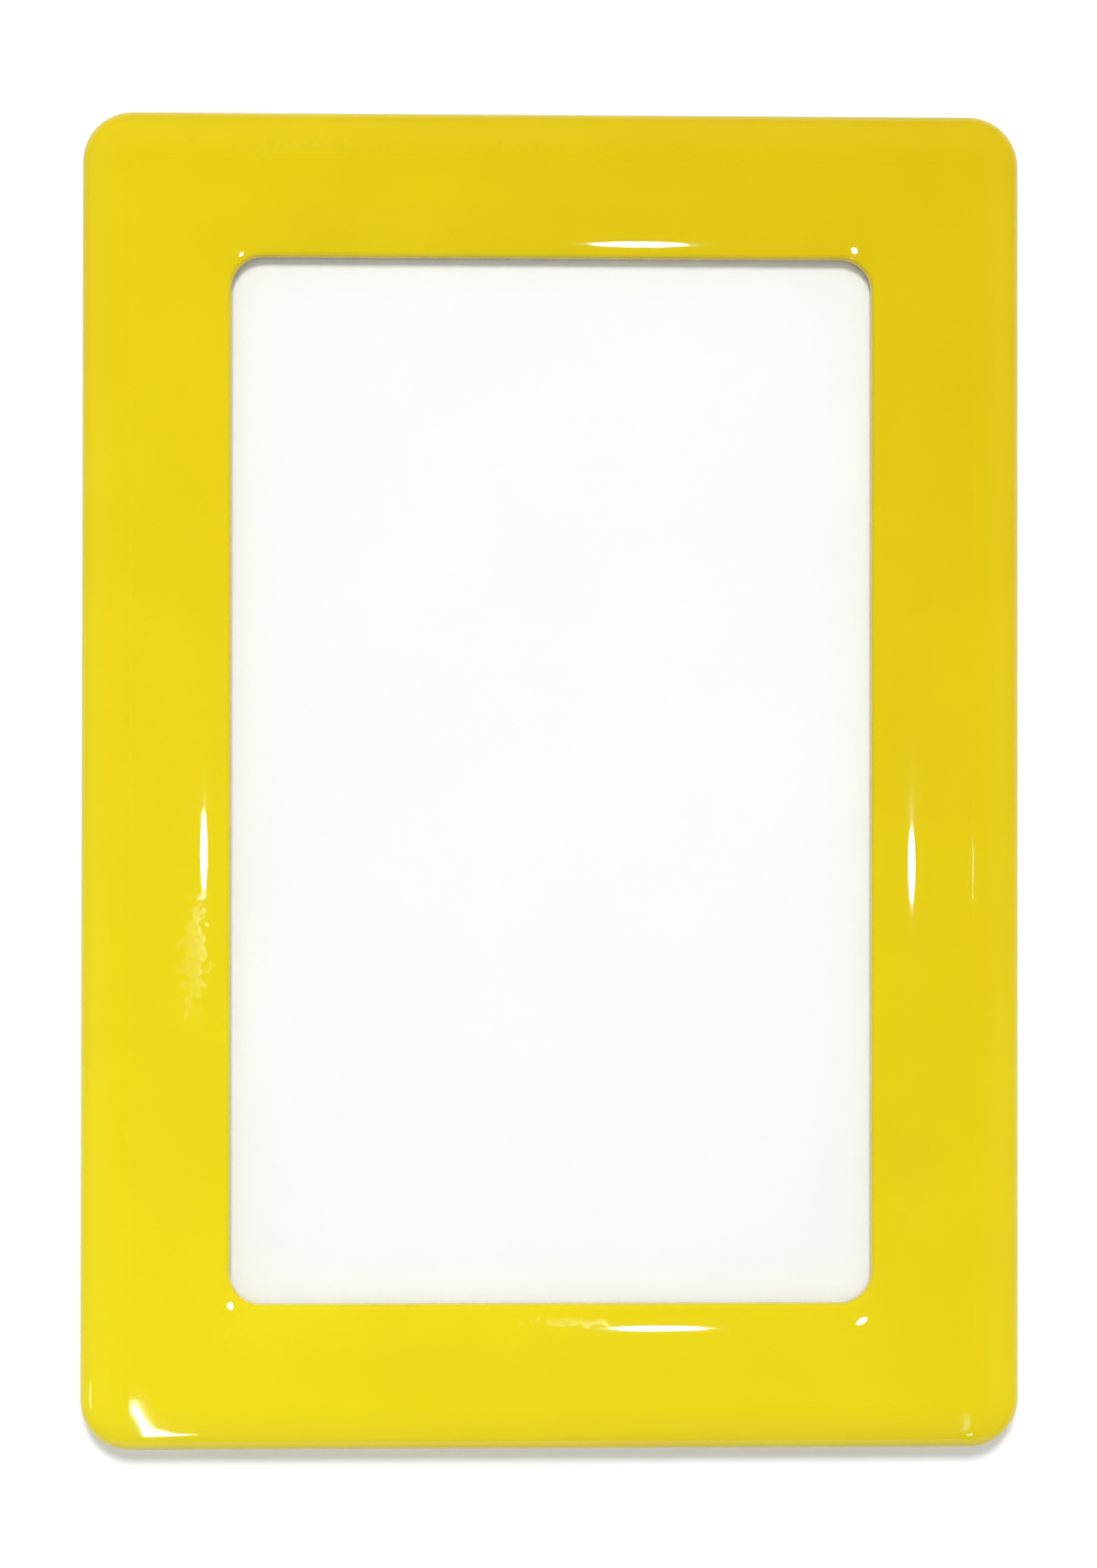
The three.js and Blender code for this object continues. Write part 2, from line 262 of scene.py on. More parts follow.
@dataclass(frozen=True)
class GlossAbs:
    """Injection-moulded ABS from a polished mould: a deep even colour under a mirror-like skin.

    The eye gets small sharp glints with a faint haze round them where handling has dulled the skin, and a
    few dark specks of pigment. Colours are sRGB, and widths and heights are in millimetres.

    Attributes:
        painted_lit_colour: the colour at the lower left, painted lighter as painted light.
        painted_shaded_colour: the colour towards the upper right, painted darker as painted shade.
        painted_shade_axis: how fast the colour changes from one to the other per metre along X, Y and Z.
        painted_shade_start: how far the change has come at the frame's middle.
        cloud_share: how much slight clouds add to it.
        dulled_roughness: the roughness where handling has dulled the skin.
        patch_edge: the noise levels between which a faint patch of handling sets in.
        smudges: X, Z, half width and half height of each finger smudge.
        smudge_edge: levels between which a smudge fades: half sizes from its middle plus the wiped streaks.
        warp: how far a corner stands back in a slightly twisted moulding, which only the skin's mirror shows.
    """

    name: str = "gloss_abs_lemon"
    painted_lit_colour: str = "ead816"
    painted_shaded_colour: str = "d3b705"
    painted_shade_axis: Point = (3.2, 0.0, 3.6)
    painted_shade_start: float = 0.35
    cloud_width: float = 14.0
    cloud_share: float = 0.3
    speck: str = "a98f10"
    speck_spacing: float = 24.0
    speck_radius: float = 0.16
    speck_strength: float = 0.5
    roughness: float = 0.03
    dulled_roughness: float = 0.34
    ior: float = 1.46
    patch_width: float = 16.0
    patch_edge: tuple[float, float] = (0.45, 0.8)
    patch_strength: float = 0.1
    wipe_width: float = 1.1
    smudges: tuple[tuple[float, float, float, float], ...] = (
        (-44.9, -22.5, 1.6, 7.0),
        (2.0, -67.9, 4.5, 0.5),
    )
    smudge_raggedness: float = 4.0
    smudge_edge: tuple[float, float] = (2.1, 3.1)
    smudge_strength: float = 1.0
    warp: float = 0.2
    peel_width: float = 5.0
    peel_height: float = 0.0012
    nib_spacing: float = 2.6
    nib_radius: float = 0.12
    nib_height: float = 0.004

    def build(self) -> Material:
        """Builds the material.

        Returns:
            The finished material.
        """
        material, tree, place = new_material(self.name)
        dulled = self.haze(tree, place)
        spread = {"Value": dulled, "To Min": self.roughness, "To Max": self.dulled_roughness}
        skin = {
            "Base Color": self.colour(tree, place),
            "Roughness": add_node(tree, RANGE, spread),
            "Normal": self.relief(tree, place, dulled),
            "IOR": self.ior,
        }
        shader = add_node(tree, "ShaderNodeBsdfPrincipled", skin)
        add_node(tree, "ShaderNodeOutputMaterial", {"Surface": shader})
        return material

    def colour(self, tree: Tree, place: Socket) -> Node:
        """Makes the colour: slight random clouds, and painted shade that darkens it from the lower left to the
        upper right.

        Args:
            tree: the material's nodes.
            place: the point's own coordinates.

        Returns:
            The node that gives the colour.
        """
        along = add_node(tree, VECTOR_MATH, (place, self.painted_shade_axis), operation="DOT_PRODUCT")
        clouds = add_node(tree, NOISE, {"Vector": place, "Scale": per_mm(self.cloud_width), "Detail": 3.0})
        drift = add_node(tree, MATH, (clouds, self.cloud_share, along), operation="MULTIPLY_ADD")
        centred = add_node(tree, MATH, (drift, self.painted_shade_start), operation="ADD", use_clamp=True)
        # Painted shade: the colour runs from lighter at the lower left to darker at the upper right, standing
        # in for how the light falls.
        ends = {6: linear(self.painted_lit_colour), 7: linear(self.painted_shaded_colour)}
        pigment_and_painted_shade = add_node(tree, MIX, {0: centred} | ends, data_type="RGBA")
        cells = add_node(tree, CELLS, {"Vector": place, "Scale": per_mm(self.speck_spacing)})
        near = {"Value": cells, "From Min": 0.0, "From Max": self.speck_radius / self.speck_spacing * 2}
        fading = near | {"To Min": self.speck_strength, "To Max": 0.0}
        inside = add_node(tree, RANGE, fading, interpolation_type="SMOOTHSTEP")
        return add_node(tree, MIX, {0: inside, 6: pigment_and_painted_shade, 7: linear(self.speck)}, data_type="RGBA")

    def haze(self, tree: Tree, place: Socket) -> Node:
        """Makes a mask of what handling has dulled: faint patches everywhere, and a few finger smudges.

        Args:
            tree: the material's nodes.
            place: the point's own coordinates.

        Returns:
            The node that gives 0 where the skin is polished, up to 1 where it is dulled.
        """
        clouds = add_node(tree, NOISE, {"Vector": place, "Scale": per_mm(self.patch_width), "Detail": 2.0})
        wiped = add_node(tree, NOISE, {"Vector": place, "Scale": per_mm(self.wipe_width), "Detail": 3.0})
        low, high = self.patch_edge
        patches = {"Value": clouds, "From Min": low, "From Max": high, "To Max": self.patch_strength}
        dulled = add_node(tree, RANGE, patches)
        low, high = self.smudge_edge
        for x, z, half_width, half_height in self.smudges:
            size = (1 / (half_width * MM), 0.0, 1 / (half_height * MM))
            shift = tuple(-value * MM * scale for value, scale in zip((x, 0.0, z), size))
            offset = add_node(tree, VECTOR_MATH, (place, size, shift), operation="MULTIPLY_ADD")
            far = add_node(tree, VECTOR_MATH, (offset,), operation="LENGTH")
            ragged = add_node(tree, MATH, (wiped, self.smudge_raggedness, far), operation="MULTIPLY_ADD")
            edge = {"Value": ragged, "From Min": low, "From Max": high}
            smudge = add_node(tree, RANGE, edge | {"To Min": self.smudge_strength, "To Max": 0.0})
            dulled = add_node(tree, MATH, (dulled, smudge), operation="MAXIMUM")
        return dulled

    def relief(self, tree: Tree, place: Socket, dulled: Node) -> Node:
        """Makes the skin's fine relief: the twist of a cooled moulding, waviness, and dust nibs on smudges.

        Args:
            tree: the material's nodes.
            place: the point's own coordinates.
            dulled: how dulled each point is.

        Returns:
            The node that gives the normal.
        """
        sides = add_node(tree, "ShaderNodeSeparateXYZ", {"Vector": place}).outputs
        twist = add_node(tree, MATH, (sides["X"], sides["Z"]), operation="MULTIPLY")
        peel = add_node(tree, NOISE, {"Vector": place, "Scale": per_mm(self.peel_width), "Detail": 1.0})
        cells = add_node(tree, CELLS, {"Vector": place, "Scale": per_mm(self.nib_spacing)})
        reach = self.nib_radius / self.nib_spacing
        near = {"Value": cells, "From Min": 0.0, "From Max": reach, "To Min": 1.0, "To Max": 0.0}
        bead = add_node(tree, RANGE, near, interpolation_type="SMOOTHSTEP")
        dusty = add_node(tree, MATH, (bead, dulled), operation="MULTIPLY")
        corner = CAD_BOX[1][0] * CAD_BOX[1][2]
        back = {"Height": twist, "Distance": self.warp * MM / corner, "Strength": 1.0}
        normal = add_node(tree, BUMP, back, invert=True)
        for height, rise in ((peel, self.peel_height), (dusty, self.nib_height)):
            raised = {"Height": height, "Distance": rise * MM, "Strength": 1.0, "Normal": normal}
            normal = add_node(tree, BUMP, raised)
        return normal


@dataclass(frozen=True)
class ClearAcrylic:
    """Non-glare acrylic sheet: the eye sees through it, and its frosted skin spreads lamps into a sheen."""

    name: str = "non_glare_acrylic"
    tint: str = "fefefe"
    sheen: str = "ffffff"
    ior: float = 1.49
    roughness: float = 0.42
    roughness_spread: float = 0.08
    frost_width: float = 0.4

    def build(self) -> Material:
        """Builds the material.

        Returns:
            The finished material.
        """
        material, tree, place = new_material(self.name)
        clear = add_node(tree, "ShaderNodeBsdfTransparent", {"Color": linear(self.tint)})
        frost = add_node(tree, NOISE, {"Vector": place, "Scale": per_mm(self.frost_width), "Detail": 1.0})
        low, high = self.roughness - self.roughness_spread, self.roughness + self.roughness_spread
        grit = add_node(tree, RANGE, {"Value": frost, "To Min": low, "To Max": high})
        mirror = add_node(tree, "ShaderNodeBsdfAnisotropic", {"Color": linear(self.sheen), "Roughness": grit})
        # Seen from inside the sheet, the index is that of air against acrylic.
        behind = add_node(tree, "ShaderNodeNewGeometry").outputs["Backfacing"]
        index_there = add_node(tree, RANGE, {"Value": behind, "To Min": self.ior, "To Max": 1 / self.ior})
        share = add_node(tree, "ShaderNodeFresnel", {"IOR": index_there})
        sheet = add_node(tree, "ShaderNodeMixShader", (share, clear, mirror))
        add_node(tree, "ShaderNodeOutputMaterial", {"Surface": sheet})
        return material


@dataclass(frozen=True)
class MatteFinish:
    """A dull surface whose colour and relief both follow a grain of one real size.

    The grain can be stretched along one axis, as rolling or extrusion does.
    """

    name: str
    light: str
    dark: str
    roughness: float
    roughness_spread: float
    grain_width: float
    grain_height: float
    stretch: Point = (1.0, 1.0, 1.0)
    patch_width: float = 20.0
    lightening: float = 0.2
    ior: float = 1.5

    def build(self) -> Material:
        """Builds the material.

        Returns:
            The finished material.
        """
        material, tree, place = new_material(self.name)
        shrink = tuple(1 / along for along in self.stretch)
        drawn = add_node(tree, "ShaderNodeMapping", {"Vector": place, "Scale": shrink})
        fibres = {"Vector": drawn, "Scale": per_mm(self.grain_width), "Detail": 3.0, "Roughness": 0.6}
        grain = add_node(tree, NOISE, fibres)
        patches = add_node(tree, NOISE, {"Vector": place, "Scale": per_mm(self.patch_width), "Detail": 2.0})
        blend = add_node(tree, MATH, (grain, patches, self.lightening), operation="MULTIPLY_ADD")
        tones = {0: blend, 6: linear(self.dark), 7: linear(self.light)}
        low, high = self.roughness - self.roughness_spread, self.roughness + self.roughness_spread
        relief = {"Height": grain, "Distance": self.grain_height * MM, "Strength": 1.0}
        skin = {
            "Base Color": add_node(tree, MIX, tones, data_type="RGBA"),
            "Roughness": add_node(tree, RANGE, {"Value": patches, "To Min": low, "To Max": high}),
            "Normal": add_node(tree, BUMP, relief),
            "IOR": self.ior,
        }
        shader = add_node(tree, "ShaderNodeBsdfPrincipled", skin)
        add_node(tree, "ShaderNodeOutputMaterial", {"Surface": shader})
        return material


# Bleached card: smooth and bright, with a fibre grain that only just shows from close by.
CARD_STOCK = MatteFinish("bleached_card", "fefefc", "f6f6f2", 0.6, 0.06, 0.25, 0.006)
# ABS from a spark-eroded mould: an even satin grit, drawn twice as coarse as it is so that it shows.
TEXTURED_ABS = MatteFinish("textured_abs_grey", "d3d3d2", "c0c0bf", 0.5, 0.08, 0.35, 0.012)
# Ferrite-filled rubber, extruded: dull dark brown with fine lines along the strip and a chalky bloom.
FERRITE_UPRIGHT = MatteFinish(
    "ferrite_strip", "4a423c", "2a2522", 0.68, 0.1, 0.35, 0.02, stretch=(1.0, 1.0, 30.0), patch_width=9.0
)
FERRITE_LEVEL = replace(FERRITE_UPRIGHT, name="ferrite_strip_level", stretch=(30.0, 1.0, 1.0))
# Double-sided foil tape: off-white film with a slight weave of the carrier.
TAPE_FILM = MatteFinish("tape_film", "efede6", "dedbd1", 0.45, 0.06, 0.5, 0.005)


class Station(NamedTuple):
    """One point of the border's section.

    Attributes:
        reach: how far outwards of the outline it lies, in millimetres; inwards is negative.
        depth: its depth in millimetres.
        on_window: whether the outline is the window's rather than the frame's.
    """

    reach: float
    depth: float
    on_window: bool


@dataclass
class Layers:
    """Thicknesses from the steel towards the viewer, and the depths that they add up to."""

    magnet: float = 1.5
    tape: float = 0.15
    panel: float = 1.2
    card: float = 0.3
    card_clearance: float = 0.3
    pane: float = 0.8

    @property
    def panel_back(self) -> float:
        """Depth of the back panel's rear face."""
        return self.magnet + self.tape

    @property
    def panel_front(self) -> float:
        """Depth of the back panel's front face."""
        return self.panel_back + self.panel

    @property
    def card_back(self) -> float:
        """Depth of the card's rear face."""
        return self.panel_front + self.card_clearance

    @property
    def card_front(self) -> float:
        """Depth of the card's front face."""
        return self.card_back + self.card

    @property
    def pane_back(self) -> float:
        """Depth of the pane's rear face."""
        return self.card_front + self.card_clearance

    @property
    def pane_front(self) -> float:
        """Depth of the pane's front face."""
        return self.pane_back + self.pane


@dataclass
class Border:
    """The moulded border: a hollow shell with rolled edges round the window, and the pins behind it."""

    layers: Layers
    half_width: float = 59.0
    half_height: float = 84.0
    corner_radius: float = 6.3
    window_half_width: float = 40.3
    window_half_height: float = 65.7
    window_corner_radius: float = 4.0
    outer_roll_width: float = 5.9
    outer_roll_height: float = 2.6
    inner_roll_width: float = 7.4
    inner_roll_slope: float = math.radians(10.5)
    inner_roll_support: float = 0.2
    lip_radius: float = 0.8
    lip_land: float = 0.8
    ledge_width: float = 3.0
    wall: float = 1.5
    rim_setback: float = 0.4
    rim_chamfer: float = 0.3
    mitre_radius: float = 0.3
    corner_support: float = 2.0
    groove_width: float = 0.2
    groove_depth: float = 0.008
    gap_half_width: float = 51.4
    cut_margin: float = 0.4
    merge: float = 0.0005
    sharp_angle: float = 32.0
    roll_steps: int = 28
    lip_steps: int = 8
    corner_steps: int = 24

    @property
    def lip_end(self) -> float:
        """Distance from the window at which the lip's rounding ends."""
        return self.lip_radius * (1 - math.sin(self.inner_roll_slope))

    @property
    def lip_base(self) -> float:
        """Depth at which the window's straight wall ends."""
        return self.layers.pane_front + self.lip_land

    @property
    def plateau(self) -> float:
        """Depth of the flat between the two rolls."""
        drop = (self.inner_roll_width - self.lip_end) * math.tan(self.inner_roll_slope / 2)
        return self.lip_base + self.lip_radius * math.cos(self.inner_roll_slope) + drop

    def outer_roll(self, inset: float) -> list[Station]:
        """Follows an elliptic quarter from the outer wall up to the plateau.

        Args:
            inset: how far inside the skin it runs.

        Returns:
            The stations, from the wall to the plateau.
        """
        width = self.outer_roll_width - inset
        height = self.outer_roll_height - inset
        base = self.plateau - self.outer_roll_height
        stations = []
        for step in range(self.roll_steps + 1):
            angle = math.pi / 2 * step / self.roll_steps
            reach = width * math.cos(angle) - self.outer_roll_width
            stations.append(Station(reach, base + height * math.sin(angle), False))
        return stations

    def witness_groove(self) -> list[Station]:
        """Follows the hair-thin groove where the mould's outer ring met its face plate.

        Returns:
            The stations, from outside to inside.
        """
        middle = -self.outer_roll_width - self.groove_width
        shape = ((1.2, 0.0), (1.0, 0.0), (0.5, 0.5), (0.0, 1.0), (-0.5, 0.5), (-1.0, 0.0), (-1.2, 0.0))
        half = self.groove_width / 2
        return [Station(middle + half * x, self.plateau - self.groove_depth * z, False) for x, z in shape]

    def inner_roll(self) -> list[Station]:
        """Follows the shallow arc from the plateau down to the lip.

        Returns:
            The stations, from the plateau to the lip.
        """
        arc_radius = (self.inner_roll_width - self.lip_end) / math.sin(self.inner_roll_slope)
        stations = [Station(self.inner_roll_width + self.inner_roll_support, self.plateau, True)]
        for step in range(self.roll_steps):
            slope = self.inner_roll_slope * step / self.roll_steps
            reach = self.inner_roll_width - arc_radius * math.sin(slope)
            stations.append(Station(reach, self.plateau - arc_radius * (1 - math.cos(slope)), True))
        return stations

    def lip(self) -> list[Station]:
        """Follows the rounding of the window's edge down to its straight wall.

        Returns:
            The stations, from the roll to the wall.
        """
        turn = math.pi / 2 - self.inner_roll_slope
        stations = []
        for step in range(self.lip_steps + 1):
            angle = turn * (1 - step / self.lip_steps)
            reach = self.lip_radius * (1 - math.cos(angle))
            stations.append(Station(reach, self.lip_base + self.lip_radius * math.sin(angle), True))
        return stations

    def section(self) -> list[Station]:
        """Goes once round the shell's section, from the rim over the face and back along the inner skin.

        Returns:
            The stations.
        """
        pane = self.layers.pane_front
        underside = self.plateau - self.wall
        return [
            Station(-self.rim_chamfer, self.rim_setback, False),
            Station(0.0, self.rim_setback + self.rim_chamfer, False),
            *self.outer_roll(0.0),
            *self.witness_groove(),
            *self.inner_roll(),
            *self.lip(),
            Station(0.0, pane, True),
            Station(self.ledge_width, pane, True),
            Station(self.ledge_width, underside, True),
            *reversed(self.outer_roll(self.wall)),
            Station(-self.wall, self.rim_setback, False),
        ]

    def section_mesh(self) -> bpy.types.Mesh:
        """Stores the section's stations as a line of vertices with one attribute for each fact.

        Returns:
            The mesh.
        """
        stations = self.section()
        mesh = bpy.data.meshes.new("border_section")
        mesh.from_pydata([(0.0, 0.0, 0.0)] * len(stations), [], [])
        for name, values in (
            ("reach", [station.reach * MM for station in stations]),
            ("depth", [station.depth * MM for station in stations]),
            ("on_window", [float(station.on_window) for station in stations]),
        ):
            mesh.attributes.new(name, "FLOAT", "POINT").data.foreach_set("value", values)
        return mesh

    def build(self, material: Material) -> None:
        """Builds the shell and its pins.

        Args:
            material: the border's plastic.
        """
        shell = mesh_object("border_shell", self.section_mesh())
        SectionSweep(self, material).apply(shell)
        self.cut_top_gap(shell)
        finish_mesh(shell.data, self.merge, self.sharp_angle)
        register(shell, Body.SHELL, ("front_bezel",))
        register(Pins(self).build(material), Body.SHELL, ("front_bezel",))

    def cut_top_gap(self, shell: Piece) -> None:
        """Cuts the way through the top wall for the card and the back panel's tongue.

        Args:
            shell: the swept shell.
        """
        wide, top = self.gap_half_width, self.half_height + self.cut_margin
        bottom = self.half_height - self.wall - self.cut_margin
        work = bmesh.new()
        bmesh.ops.create_cube(work, size=1.0)
        for vert in work.verts:
            x = wide if vert.co.x > 0 else -wide
            depth = 0.0 if vert.co.y > 0 else self.layers.pane_back
            vert.co = (x * MM, -depth * MM, (top if vert.co.z > 0 else bottom) * MM)
        cutter = mesh_object("gap_cutter", mesh_from(work, "gap_cutter"))
        cut_away(shell, cutter)
        bake(shell)
        bpy.data.objects.remove(cutter)


class SectionSweep:
    """Sweeps the border's section round the frame's and the window's rounded outlines, by a node tree.

    Each corner has a section at each step of its arc, and one more before and after it on the straight sides,
    which keeps the faces there narrow.
    """

    def __init__(self, border: Border, material: Material) -> None:
        """Builds the tree.

        Args:
            border: the sizes.
            material: the material that the tree sets.
        """
        self.sizes = {
            "Frame Half Width": border.half_width * MM,
            "Frame Half Height": border.half_height * MM,
            "Frame Corner Radius": border.corner_radius * MM,
            "Window Half Width": border.window_half_width * MM,
            "Window Half Height": border.window_half_height * MM,
            "Window Corner Radius": border.window_corner_radius * MM,
            "Mitre Radius": border.mitre_radius * MM,
            "Corner Support": border.corner_support * MM,
        }
        self.counts = {"Corner Steps": border.corner_steps}
        self.tree = new_tree("section_sweep", self.sizes, self.counts)
        self.given = add_node(self.tree, "NodeGroupInput").outputs
        self.wire(border.merge, material)

    def station_fact(self, name: str, station: Node) -> Node:
        """Reads what the section's mesh stores about a station.

        Args:
            name: the fact's name.
            station: the station's number.

        Returns:
            The node that gives the value.
        """
        stored = add_node(self.tree, "GeometryNodeInputNamedAttribute", {"Name": name}, data_type="FLOAT")
        sample = {"Geometry": self.given["Geometry"], "Value": stored, "Index": station}
        return add_node(self.tree, "GeometryNodeSampleIndex", sample, data_type="FLOAT")

    def outline_size(self, size: str, on_window: Node, reach: Node) -> Node:
        """Takes a size of the frame's or the window's outline, moved outwards.

        Args:
            size: the size's name, without the outline's.
            on_window: 1 for the window's outline, 0 for the frame's.
            reach: how far outwards.

        Returns:
            The node that gives the size.
        """
        pair = {0: on_window, 2: self.given["Frame " + size], 3: self.given["Window " + size]}
        size_here = add_node(self.tree, MIX, pair, data_type="FLOAT")
        return add_node(self.tree, MATH, (size_here, reach), operation="ADD")

    def wire(self, merge: float, material: Material) -> None:
        """Wires the whole tree: a grid with a column for each section, and the sums that place its vertices.

        Args:
            merge: distance under which vertices are one, in millimetres.
            material: the material that the last node sets.
        """
        tree, given, quarter = self.tree, self.given, math.pi / 2
        steps, section = given["Corner Steps"], {"Geometry": given["Geometry"]}
        stations = add_node(tree, "GeometryNodeAttributeDomainSize", section, component="MESH")
        per_corner = add_node(tree, MATH, (steps, 3.0), operation="ADD")
        round_count = add_node(tree, MATH, (per_corner, 4.0), operation="MULTIPLY")
        columns = add_node(tree, MATH, (round_count, 1.0), operation="ADD")
        rows = add_node(tree, MATH, (stations, 1.0), operation="ADD")
        grid = add_node(tree, "GeometryNodeMeshGrid", {"Vertices X": columns, "Vertices Y": rows})

        index = add_node(tree, "GeometryNodeInputIndex")
        mid_index = add_node(tree, MATH, (index, 0.5), operation="ADD")
        columns_passed = add_node(tree, MATH, (mid_index, rows), operation="DIVIDE")
        column = add_node(tree, MATH, (columns_passed,), operation="FLOOR")
        column_start = add_node(tree, MATH, (column, rows), operation="MULTIPLY")
        row = add_node(tree, MATH, (index, column_start), operation="SUBTRACT")
        station = add_node(tree, MATH, (row, stations), operation="FLOORED_MODULO")
        around = add_node(tree, MATH, (column, round_count), operation="FLOORED_MODULO")
        mid_around = add_node(tree, MATH, (around, 0.5), operation="ADD")
        corners_passed = add_node(tree, MATH, (mid_around, per_corner), operation="DIVIDE")
        corner = add_node(tree, MATH, (corners_passed,), operation="FLOOR")
        corner_start = add_node(tree, MATH, (corner, per_corner), operation="MULTIPLY")
        place_in_corner = add_node(tree, MATH, (around, corner_start), operation="SUBTRACT")
        step = add_node(tree, MATH, (place_in_corner, 1.0), operation="SUBTRACT")
        step_from_0 = add_node(tree, MATH, (step, 0.0), operation="MAXIMUM")
        step_in_arc = add_node(tree, MATH, (step_from_0, steps), operation="MINIMUM")
        steps_past_arc = add_node(tree, MATH, (step, step_in_arc), operation="SUBTRACT")
        past_arc = add_node(tree, MATH, (steps_past_arc, given["Corner Support"]), operation="MULTIPLY")
        share_of_arc = add_node(tree, MATH, (step_in_arc, steps), operation="DIVIDE")
        turned = add_node(tree, MATH, (corner, share_of_arc), operation="ADD")
        angle = add_node(tree, MATH, (turned, quarter), operation="MULTIPLY")
        mid_corner = add_node(tree, MATH, (corner, 0.5), operation="ADD")
        diagonal = add_node(tree, MATH, (mid_corner, quarter), operation="MULTIPLY")

        reach = self.station_fact("reach", station)
        depth = self.station_fact("depth", station)
        on_window = self.station_fact("on_window", station)
        moved_radius = self.outline_size("Corner Radius", on_window, reach)
        radius = add_node(tree, MATH, (moved_radius, given["Mitre Radius"]), operation="MAXIMUM")
        sine = add_node(tree, MATH, (angle,), operation="SINE")
        cosine = add_node(tree, MATH, (angle,), operation="COSINE")
        minus_sine = add_node(tree, MATH, (sine, -1.0), operation="MULTIPLY")
        place = {"Y": add_node(tree, MATH, (depth, -1.0), operation="MULTIPLY")}
        for axis, size, wave, outwards, onwards in (
            ("X", "Half Width", "COSINE", cosine, minus_sine),
            ("Z", "Half Height", "SINE", sine, cosine),
        ):
            moved_size = self.outline_size(size, on_window, reach)
            straight = add_node(tree, MATH, (moved_size, radius), operation="SUBTRACT")
            share = add_node(tree, MATH, (diagonal,), operation=wave)
            side = add_node(tree, MATH, (share,), operation="SIGN")
            way_past_arc = add_node(tree, MATH, (past_arc, onwards), operation="MULTIPLY")
            bend = add_node(tree, MATH, (radius, outwards, way_past_arc), operation="MULTIPLY_ADD")
            place[axis] = add_node(tree, MATH, (straight, side, bend), operation="MULTIPLY_ADD")
        spot = add_node(tree, "ShaderNodeCombineXYZ", place)
        placed = add_node(tree, "GeometryNodeSetPosition", {"Geometry": grid, "Position": spot})
        welded = add_node(tree, "GeometryNodeMergeByDistance", {"Geometry": placed, "Distance": merge * MM})
        finish_tree(tree, welded, material)

    def apply(self, piece: Piece) -> None:
        """Runs the tree on a piece and keeps the plain mesh."""
        run_tree(piece, self.tree, self.sizes | self.counts)


def new_tree(name: str, sizes: dict[str, float], counts: dict[str, int]) -> Tree:
    """Makes a geometry tree with one geometry input and named inputs for its sizes and counts.

    Args:
        name: the tree's name.
        sizes: the sizes by input name, in metres.
        counts: the whole numbers by input name.

    Returns:
        The tree, still without nodes.
    """
    tree = bpy.data.node_groups.new(name, "GeometryNodeTree")
    tree.is_modifier = True
    tree.interface.new_socket(name="Geometry", in_out="INPUT", socket_type="NodeSocketGeometry")
    for wanted, kind in ((sizes, Kind.NUMBER), (counts, Kind.COUNT)):
        for label in wanted:
            tree.interface.new_socket(name=label, in_out="INPUT", socket_type=kind.value)
    tree.interface.new_socket(name="Geometry", in_out="OUTPUT", socket_type="NodeSocketGeometry")
    return tree


def finish_tree(tree: Tree, shape: Node, material: Material) -> None:
    """Ends a geometry tree with real geometry and its material.

    Args:
        tree: the tree.
        shape: the node that gives the geometry so far.
        material: the material that everything gets.
    """
    real = add_node(tree, "GeometryNodeRealizeInstances", {"Geometry": shape})
    dressed = add_node(tree, "GeometryNodeSetMaterial", {"Geometry": real, "Material": material})
    add_node(tree, "NodeGroupOutput", {"Geometry": dressed})


def run_tree(piece: Piece, tree: Tree, values: dict[str, float]) -> None:
    """Gives a piece the tree as a modifier, sets its inputs and bakes it to plain mesh.

    Args:
        piece: the object.
        tree: the geometry tree.
        values: what each named input gets.
    """
    modifier = piece.modifiers.new(tree.name, "NODES")
    modifier.node_group = tree
    for item in tree.interface.items_tree:
        if item.in_out == "INPUT" and item.name in values:
            modifier[item.identifier] = values[item.name]
    bake(piece)


